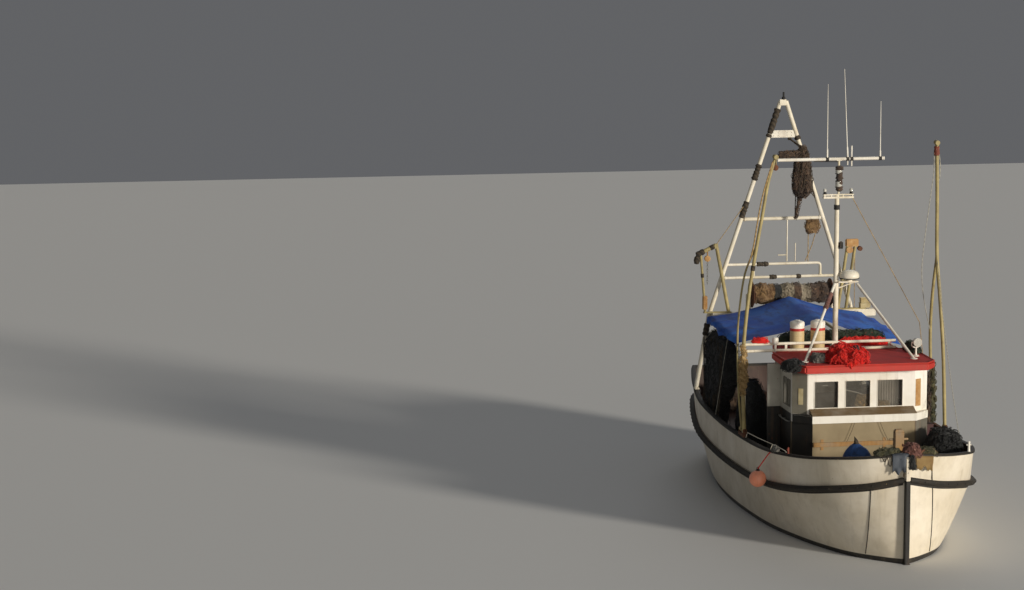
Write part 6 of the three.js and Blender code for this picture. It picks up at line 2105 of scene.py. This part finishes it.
def buildHeaps():
    growHeap("net_pile_starboard", blackHeap, lumpMesh("starboard_net", heaps["net_heap_starboard"], 5, 40),
             (0.2, 0.05, 260.0, 0.075, 0.0065, 11), slot="net_black", stands=("net_heap_starboard",))
    lines = []
    for k in range(16):
        # bights of net hanging over the rail side of the pile
        y = 1.42 + 0.105 * k
        top = 3.2 - 0.1 * ((k * 7) % 3)
        lines.append(sagging((-1.93, y, top), (-1.93, y + 0.09, top - 0.1), 0.9 + 0.25 * ((k * 5) % 4), 16))
    growCords("net_bights_starboard", darkCords, lines, 0.009, 0.012, 6, slot="net_black")
    growHeap("net_pile_roof", greenHeap, lumpMesh("roof_net", heaps["net_heap_roof"], 4, 64),
             (0.16, 0.055, 420.0, 0.06, 0.006, 12), slot="net_black", stands=("net_heap_roof",))
    growHeap("net_pile_foredeck", blackHeap, lumpMesh("foredeck_net", heaps["net_heap_foredeck"], 4, 36),
             (0.18, 0.06, 330.0, 0.07, 0.007, 13), slot="net_black", stands=("net_heap_foredeck",))
    # the red net on the roof: a low uneven heap with cords pulled out of it
    x, y, z = -0.31, -2.53, roofSeat
    rows = []
    for r, h, shift in [(0.4, 0.0, 0.0), (0.42, 0.05, 0.0), (0.36, 0.15, 0.02), (0.24, 0.24, -0.05),
                        (0.12, 0.3, -0.1), (0.05, 0.33, -0.1)]:
        rows.append((x + shift - r, x + shift + r, y - r, y + r, z + h))
    growHeap("red_net_pile", redHeap, lumpMesh("red_net", rows, 4, 40, 1.0),
             (0.16, 0.1, 700.0, 0.085, 0.008, 14), slot="red_net", stands=("red_net_heap",))
    random.seed(5)
    lines = []
    for k in range(16):
        a, r = random.uniform(0, 6.28), random.uniform(0.05, 0.26)
        px, py = x + r * math.cos(a), y + r * math.sin(a)
        top = z + 0.34 - 0.5 * r
        pulled = [(px, py, top), (px + 0.09, py - 0.06, top + 0.07), (px + 0.16, py - 0.15, top - 0.05),
                  (px + 0.1, py - 0.2, top - 0.14)]
        lines.append(throughPoints(pulled, 4))
    growCords("red_net_cords", redCords, lines, 0.009, 0.012, 3, slot="red_net")
    # small lumps on the roof and at the bow
    small = [
        # name, tree, low, high, loop radius, loops
        ("roof_net_lumps", blackHeap, (-1.62, -2.9, 3.36), (-1.22, -2.3, 3.5), 0.07, 1200.0),
        ("roof_grey_net", greyHeap, (-1.00, -2.62, 3.452), (-0.72, -2.2, 3.6), 0.05, 600.0),
        ("roof_dark_net", brownHeap, (-0.86, -2.5, 3.452), (-0.66, -2.1, 3.58), 0.05, 600.0),
        # a black lump on top of the red net: painted shade of a hollow in it
        ("red_net_hollow_shade", blackHeap, (-0.22, -2.76, 3.64), (-0.08, -2.62, 3.8), 0.03, 300.0),
        ("roof_corner_net", greenHeap, (1.26, -1.85, 3.452), (1.5, -1.18, 3.64), 0.05, 700.0),
        ("roof_red_net", redHeap, (0.06, -0.58, 3.452), (1.18, -0.44, 3.6), 0.045, 700.0),
        ("beam_red_net", redHeap, (-1.92, -1.16, 3.652), (-1.56, -1.06, 3.75), 0.035, 500.0),
        ("bow_net_faded", pinkHeap, (-0.04, -5.93, 2.13), (0.28, -5.62, 2.36), 0.06, 700.0),
        ("bow_net_olive", oliveHeap, (-0.6, -5.8, 2.15), (-0.06, -5.58, 2.26), 0.05, 700.0),
        ("bow_net_rim", oliveHeap, (0.26, -5.8, 2.12), (0.62, -5.62, 2.27), 0.045, 700.0),
        ("bow_net_hanging", blackHeap, (0.02, -6.02, 1.9), (0.13, -5.955, 2.16), 0.035, 500.0),
        ("side_net_brown", brownHeap, (1.47, -2.28, 2.1), (1.56, -2.12, 3.12), 0.045, 500.0),
        ("side_net_green", oliveHeap, (1.57, -2.24, 2.1), (1.68, -2.12, 3.3), 0.045, 500.0),
        # a black net heap beside the house, which also stands for the deep shade under the awning there:
        # partly painted shade
        ("side_deck_net_and_shade", blackHeap, (-1.74, 0.05, 1.07), (-1.15, 1.2, 2.55), 0.075, 240.0),
        ("foredeck_rope_coil", ropeHeap, (0.45, -4.6, 1.36), (1.02, -4.05, 1.52), 0.1, 320.0),
        ("deck_net_port", brownHeap, (1.25, 0.35, 1.05), (1.86, 1.6, 1.52), 0.07, 240.0),
        ("deck_net_aft", brownHeap, (-1.35, 4.2, 1.28), (-0.35, 5.3, 1.74), 0.08, 240.0),
    ]
    for name, tree, low, high, loop, amount in small:
        (x0, y0, z0), (x1, y1, z1) = low, high
        rows = [
            (x0, x1, y0, y1, z0), (x0, x1, y0, y1, z0 + (z1 - z0) * 0.4),
            (x0 + (x1 - x0) * 0.12, x1 - (x1 - x0) * 0.15, y0 + (y1 - y0) * 0.14, y1 - (y1 - y0) * 0.1,
             z0 + (z1 - z0) * 0.8),
            (x0 + (x1 - x0) * 0.3, x1 - (x1 - x0) * 0.35, y0 + (y1 - y0) * 0.35, y1 - (y1 - y0) * 0.3, z1),
        ]
        growHeap(name, tree, lumpMesh(name, rows, 3, 30, 0.8),
                 (0.14, 0.03, amount, loop, 0.011 if tree == ropeHeap else 0.007, 21), slot="net_black")


buildHeaps()
buildCurtain()


def buildBundle():
    # gear under a cloth tied in at the waist, on the foredeck
    x, y = -0.7, -4.7
    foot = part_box("covered_bundle")[0][2]
    rows = [(0.29, foot + 0.002), (0.305, foot + 0.3), (0.305, 1.62), (0.28, 1.86), (0.225, 2.02),
            (0.13, 2.14), (0.045, 2.2), (0.03, 2.215)]
    rings = []
    for r, z in smoothRows([list(row) for row in rows], 5):
        ring = []
        depth = 0.07 if z < 1.7 else 0.045
        for k in range(84):
            a = 2 * math.pi * k / 84
            pleat = 0.5 + 0.5 * math.sin(11 * a + 1.5 * math.sin(3 * z))
            fold = 1 - depth * pleat - 0.02 * math.sin(5 * a + 4 * z)
            wide = 1.18 if math.cos(a) > 0 and z < 2.1 else 1.0
            ring.append((x + r * fold * wide * math.cos(a), y + r * fold * math.sin(a), z))
        rings.append(ring)
    bm = bmesh.new()
    addTurned(bm, [(0.0, 0), (0.22, 0.0), (0.24, 0.3), (0.23, 0.45), (0.18, 0.62), (0.1, 0.8), (0.0, 0.84)],
              (x, y, foot + 0.002), sides=24)
    makePiece("bundle_filling", bm, netBrown, slot="net_brown")
    makeSheet("bundle_cover", list(reversed(rings)), coverBlue, closed=True,
              slot="tarp_blue", stands=("covered_bundle",))
    bm = bmesh.new()
    for z, r in ((1.8, 0.3), (2.185, 0.055)):
        addLoop(bm, [(x + r * math.cos(2 * math.pi * k / 24), y + r * math.sin(2 * math.pi * k / 24),
                      z + 0.008 * math.sin(k)) for k in range(24)], 0.01)
    # the tied neck stands up in a point
    addTube(bm, throughPoints([(x, y, 2.17), (x - 0.01, y - 0.02, 2.25), (x - 0.05, y - 0.04, 2.34)], 4),
            [0.05, 0.055, 0.05, 0.045, 0.04, 0.03, 0.02, 0.012, 0.005], 10)
    makePiece("bundle_lashings", bm, ropeDark, slot="net_black")


buildBundle()


def buildBow():
    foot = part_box("samson_post")[0][2]
    bm = bmesh.new()
    addBox(bm, (0.101, -4.674, foot), (0.289, -4.526, 2.385), 0.012)
    addRings(bm, [
        [(0.101, -4.674, 2.384), (0.289, -4.674, 2.384), (0.289, -4.526, 2.384), (0.101, -4.526, 2.384)],
        [(0.13, -4.645, 2.43), (0.26, -4.645, 2.43), (0.26, -4.555, 2.43), (0.13, -4.555, 2.43)],
    ])
    addRound(bm, [(0.016, 0), (0.022, 0.01), (0.022, 0.38), (0.016, 0.39)], (0.0, -4.6, 2.23), (1, 0, 0),
             12)
    makePiece("samson_post_timber", bm, postTimber, slot="timber", stands=("samson_post",))
    z = 2.235
    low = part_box("anchor")[0][2]
    bm = bmesh.new()
    addBox(bm, (0.193, -5.9, z - 0.028), (0.237, -5.16, z + 0.028), 0.008)
    addTube(bm, [(0.08, -5.24, z), (0.35, -5.24, z)], 0.018, 12)
    for x in (0.09, 0.34):
        addTurned(bm, [(0.0, -0.02), (0.024, -0.014), (0.028, 0), (0.024, 0.014), (0.0, 0.02)],
                  (x, -5.24, z), (1, 0, 0), 12)
    # two flukes that taper to their bills, and the crown between them
    for side in (-1, 1):
        x = 0.215 + side * 0.05
        addRings(bm, [
            [(x - 0.015, -5.925, z - 0.03), (x + 0.015, -5.925, z - 0.03), (x + 0.015, -5.865, z - 0.03),
             (x - 0.015, -5.865, z - 0.03)],
            [(x + side * 0.04 - 0.045, -5.93, z + 0.01), (x + side * 0.04 + 0.02, -5.93, z + 0.01),
             (x + side * 0.04 + 0.02, -5.9, z + 0.01), (x + side * 0.04 - 0.045, -5.9, z + 0.01)],
            [(x + side * 0.06 - 0.006, -5.93, z + 0.045), (x + side * 0.06 + 0.004, -5.93, z + 0.045),
             (x + side * 0.06 + 0.004, -5.92, z + 0.045), (x + side * 0.06 - 0.006, -5.92, z + 0.045)],
        ])
    addBox(bm, (0.187, -5.878, low), (0.243, -5.79, z - 0.02), 0.006)
    addLoop(bm, circle((0.215, -5.165, z), 0.03, 12, (0, 1, 0)), 0.008)
    makePiece("anchor_iron", bm, rustySteel, slot="rusty_steel", stands=("anchor",))

    # ball fender on its lanyard
    bm = bmesh.new()
    centre = (-2.3303, -3.3, 1.2697)
    rows = [(0.0, -0.172)]
    rows += [(0.172 * math.cos(math.radians(a)),
              0.172 * math.sin(math.radians(a))) for a in range(-80, 66, 8)]
    rows += [(0.07, 0.156), (0.045, 0.165), (0.0, 0.166)]
    addTurned(bm, rows, centre, sides=36)
    makePiece("fender_ball", bm, vinylCoralLit, slot="fender_coral", stands=("ball_fender",), angle=60)
    bm = bmesh.new()
    addTurned(bm, [(0.05, 0.14), (0.055, 0.155), (0.035, 0.185), (0.02, 0.2), (0.0, 0.2)], centre, sides=20)
    addLoop(bm, circle((centre[0], centre[1], centre[2] + 0.205), 0.022, 12), 0.007)
    makePiece("fender_eye", bm, darkRubber, slot="rail_black")
    bm = bmesh.new()
    addTube(bm, [(-2.3303, -3.3, 1.47), (-2.12, -3.3, 1.755), (-2.0603, -3.3, 1.8117)], 0.011, 8)
    makePiece("fender_lanyard", bm, ropeRed, slot="red_net")


buildBow()


def capAt(x, out, up):
    # a point on the cap rail near the bow: out from its edge line, up from its underside
    for i in range(len(edge) - 1):
        a, b = capLine[i], capLine[i + 1]
        if a[0] <= abs(x) < b[0]:
            t = (abs(x) - a[0]) / (b[0] - a[0])
            return (x, a[1] + (b[1] - a[1]) * t - out, edge[i][5] + (edge[i + 1][5] - edge[i][5]) * t + up)
    return (x, capLine[0][1] - out, edge[0][5] + up)


bowCloths = {
    # from x, to x, material, held, and the way down over the rail as out and up
    "rail_cloth_grey": (-0.31, 0.02, greyCloth, "draped", [
        (-0.15, -0.1), (-0.12, 0.03), (-0.09, 0.054), (-0.03, 0.056), (0.02, 0.054), (0.04, 0.03),
        (0.048, -0.08), (0.05, -0.19), (0.05, -0.3),
    ]),
    "rail_canvas_tan": (0.16, 0.54, tanCanvas, "hung", [
        (0.034, 0.01), (0.044, -0.04), (0.05, -0.11), (0.052, -0.18), (0.05, -0.25),
    ]),
}


def buildBowCloths():
    for name, (x0, x1, material, held, way) in bowCloths.items():
        rows = []
        for k, (out, up) in enumerate(way):
            row = []
            for i in range(17):
                t = i / 16
                fall = max(0.0, -up) if out > 0 else 0.0
                waver = noise.noise(Vector((3 * t, k * 0.6, x0)))
                ripple = 0.01 * math.sin(11 * t + 2 * k) * fall * 8 + 0.02 * waver * fall * 5
                narrow = 1 - 0.25 * fall * (1 if t > 0.5 else -0.6) * 2 * abs(t - 0.5)
                x = x0 + (x1 - x0) * t * narrow
                ragged = 0.1 * noise.noise(Vector((4.3 * t, 0.7, x1))) * (1 if k == len(way) - 1 else 0)
                row.append(capAt(x, out + max(ripple, -0.012), up + ragged))
            rows.append(row)
        makeSheet(name, rows, material,
                  slot="tarp_blue")
    # a crumpled cloth on the port rail
    rows = []
    for k in range(9):
        row = []
        for i in range(13):
            u, v = i / 12, k / 8
            bulge = 0.09 * math.sin(math.pi * u) * math.sin(math.pi * v)
            lift = 0.055 + bulge + 0.05 * noise.noise(Vector((4 * u, 4 * v, 1.3)))
            x, y, z = capAt(0.38 + 0.28 * u, -0.02 - 0.22 * v, 0)
            row.append((x, y, z + max(0.05, lift)))
        rows.append(row)
    makeSheet("rail_cloth_crumpled", rows, tanCanvas, slot="tarp_blue")
    loops = []
    for x, drop in ((-0.5, 0.1), (-0.4, 0.2), (-0.33, 0.14), (-0.2, 0.08)):
        a, b = capAt(x, 0.03, 0.03), capAt(x + 0.1, 0.03, 0.03)
        loops.append(sagging(a, b, drop, 10))
    growCords("bow_net_loops", darkCords, loops, 0.01, 0.004, 2, slot="net_black")


buildBowCloths()


def buildRailGear():
    # a white cleat post on the port cap, a low handrail on the starboard one, and what lies on it
    x, y, z = capAt(1.52, -0.035, 0.0456)
    build("cleat_port", houseWhite, [
        (addTurned, [(0.0, 0), (0.035, 0), (0.028, 0.02), (0.024, 0.14), (0.03, 0.2), (0.0, 0.21)],
         (x, y, z), (0, 0, 1), 16),
        (addTube, [(x - 0.05, y, z + 0.13), (x + 0.05, y, z + 0.13)], 0.012, 10),
    ], slot="house_white")
    rail = [(-2.055, -1.35, 1.83), (-2.03, -2.2, 1.87), (-2.0, -3.17, 1.93), (-1.93, -3.75, 1.93),
            (-1.9, -3.88, 1.9)]
    parts = [(addTube, throughPoints(rail, 5), 0.008, 8)]
    for px, py, pz in (rail[0], rail[2]):
        cx, cy, cz = capAtStation(py)
        parts.append((addTube, [(cx, cy, cz), (px, py, pz)], 0.007, 8))
    build("handrail_starboard", gearCream, parts, slot="gear_cream")
    cx, cy, cz = capAtStation(-3.45)
    growHeap("rail_line_pale", greyHeap, lumpMesh("pale_line", [
        (cx - 0.05, cx + 0.05, cy - 0.16, cy + 0.16, cz),
        (cx - 0.045, cx + 0.045, cy - 0.14, cy + 0.14, cz + 0.05),
        (cx - 0.02, cx + 0.02, cy - 0.07, cy + 0.07, cz + 0.09),
    ], 3, 20, 0.8), (0.08, 0.02, 900.0, 0.035, 0.006, 2), slot="gear_cream")
    cx, cy, cz = capAtStation(-4.0)
    build("cleat_starboard", headRed, [
        (addTurned, [(0.0, 0), (0.03, 0), (0.022, 0.02), (0.02, 0.12), (0.0, 0.13)], (cx, cy, cz),
         (0, 0, 1), 12),
        (addTube, [(cx - 0.03, cy - 0.06, cz + 0.09), (cx + 0.02, cy + 0.06, cz + 0.11)], 0.014, 10),
    ], slot="roof_red")


def capAtStation(y):
    # the middle of the starboard cap rail's top at this station
    for i in range(len(capLine) - 1):
        if capLine[i][1] <= y < capLine[i + 1][1]:
            t = (y - capLine[i][1]) / (capLine[i + 1][1] - capLine[i][1])
            x = capLine[i][0] + (capLine[i + 1][0] - capLine[i][0]) * t
            return (-(x - 0.035), y, edge[i][5] + (edge[i + 1][5] - edge[i][5]) * t + 0.0456)


buildRailGear()
print("heaps and bow gear done")

# Floor and light
bm = bmesh.new()
addBox(bm, (-60, -60, -0.02), (60, 60, 0))
floorMesh = toMesh("studio_floor", bm)
floor = bpy.data.objects.new("studio_floor", floorMesh)
scene.collection.objects.link(floor)
floorMaterial, floorTree, floorShader, _ = startMaterial("studio_floor")
feed(floorTree, floorShader, {"Base Color": toLinear(0xD9D9D6), "Roughness": 0.9})
floorMesh.materials.append(floorMaterial)

world = bpy.data.worlds.new("studio")
world.use_nodes = True
sky = world.node_tree.nodes["Background"]
feed(world.node_tree, sky, {"Color": (0.93, 0.95, 1.0, 1.0), "Strength": 0.13})
scene.world = world
lamps = [
    # name, place, angle in degrees, strength, colour
    # the photograph's light comes warm and low from the port bow
    ("key", (23.5, -29, 9.5), 7, 3.3, (1.0, 0.93, 0.83)),
    ("front", (1, -36, 8), 40, 0.42, (1.0, 0.95, 0.88)),
    ("back", (10, 28, 20), 30, 0.3, (0.95, 0.97, 1.0)),
]
for name, place, angle, strength, colour in lamps:
    data = bpy.data.lights.new(name, "SUN")
    data.angle = math.radians(angle)
    data.energy = strength
    data.color = colour
    lamp = bpy.data.objects.new(name, data)
    lamp.location = place
    lamp.rotation_euler = (Vector((0, 0, 3)) - Vector(place)).to_track_quat("-Z", "Y").to_euler()
    scene.collection.objects.link(lamp)
scene.view_settings.view_transform = "Standard"

print("scene ready")
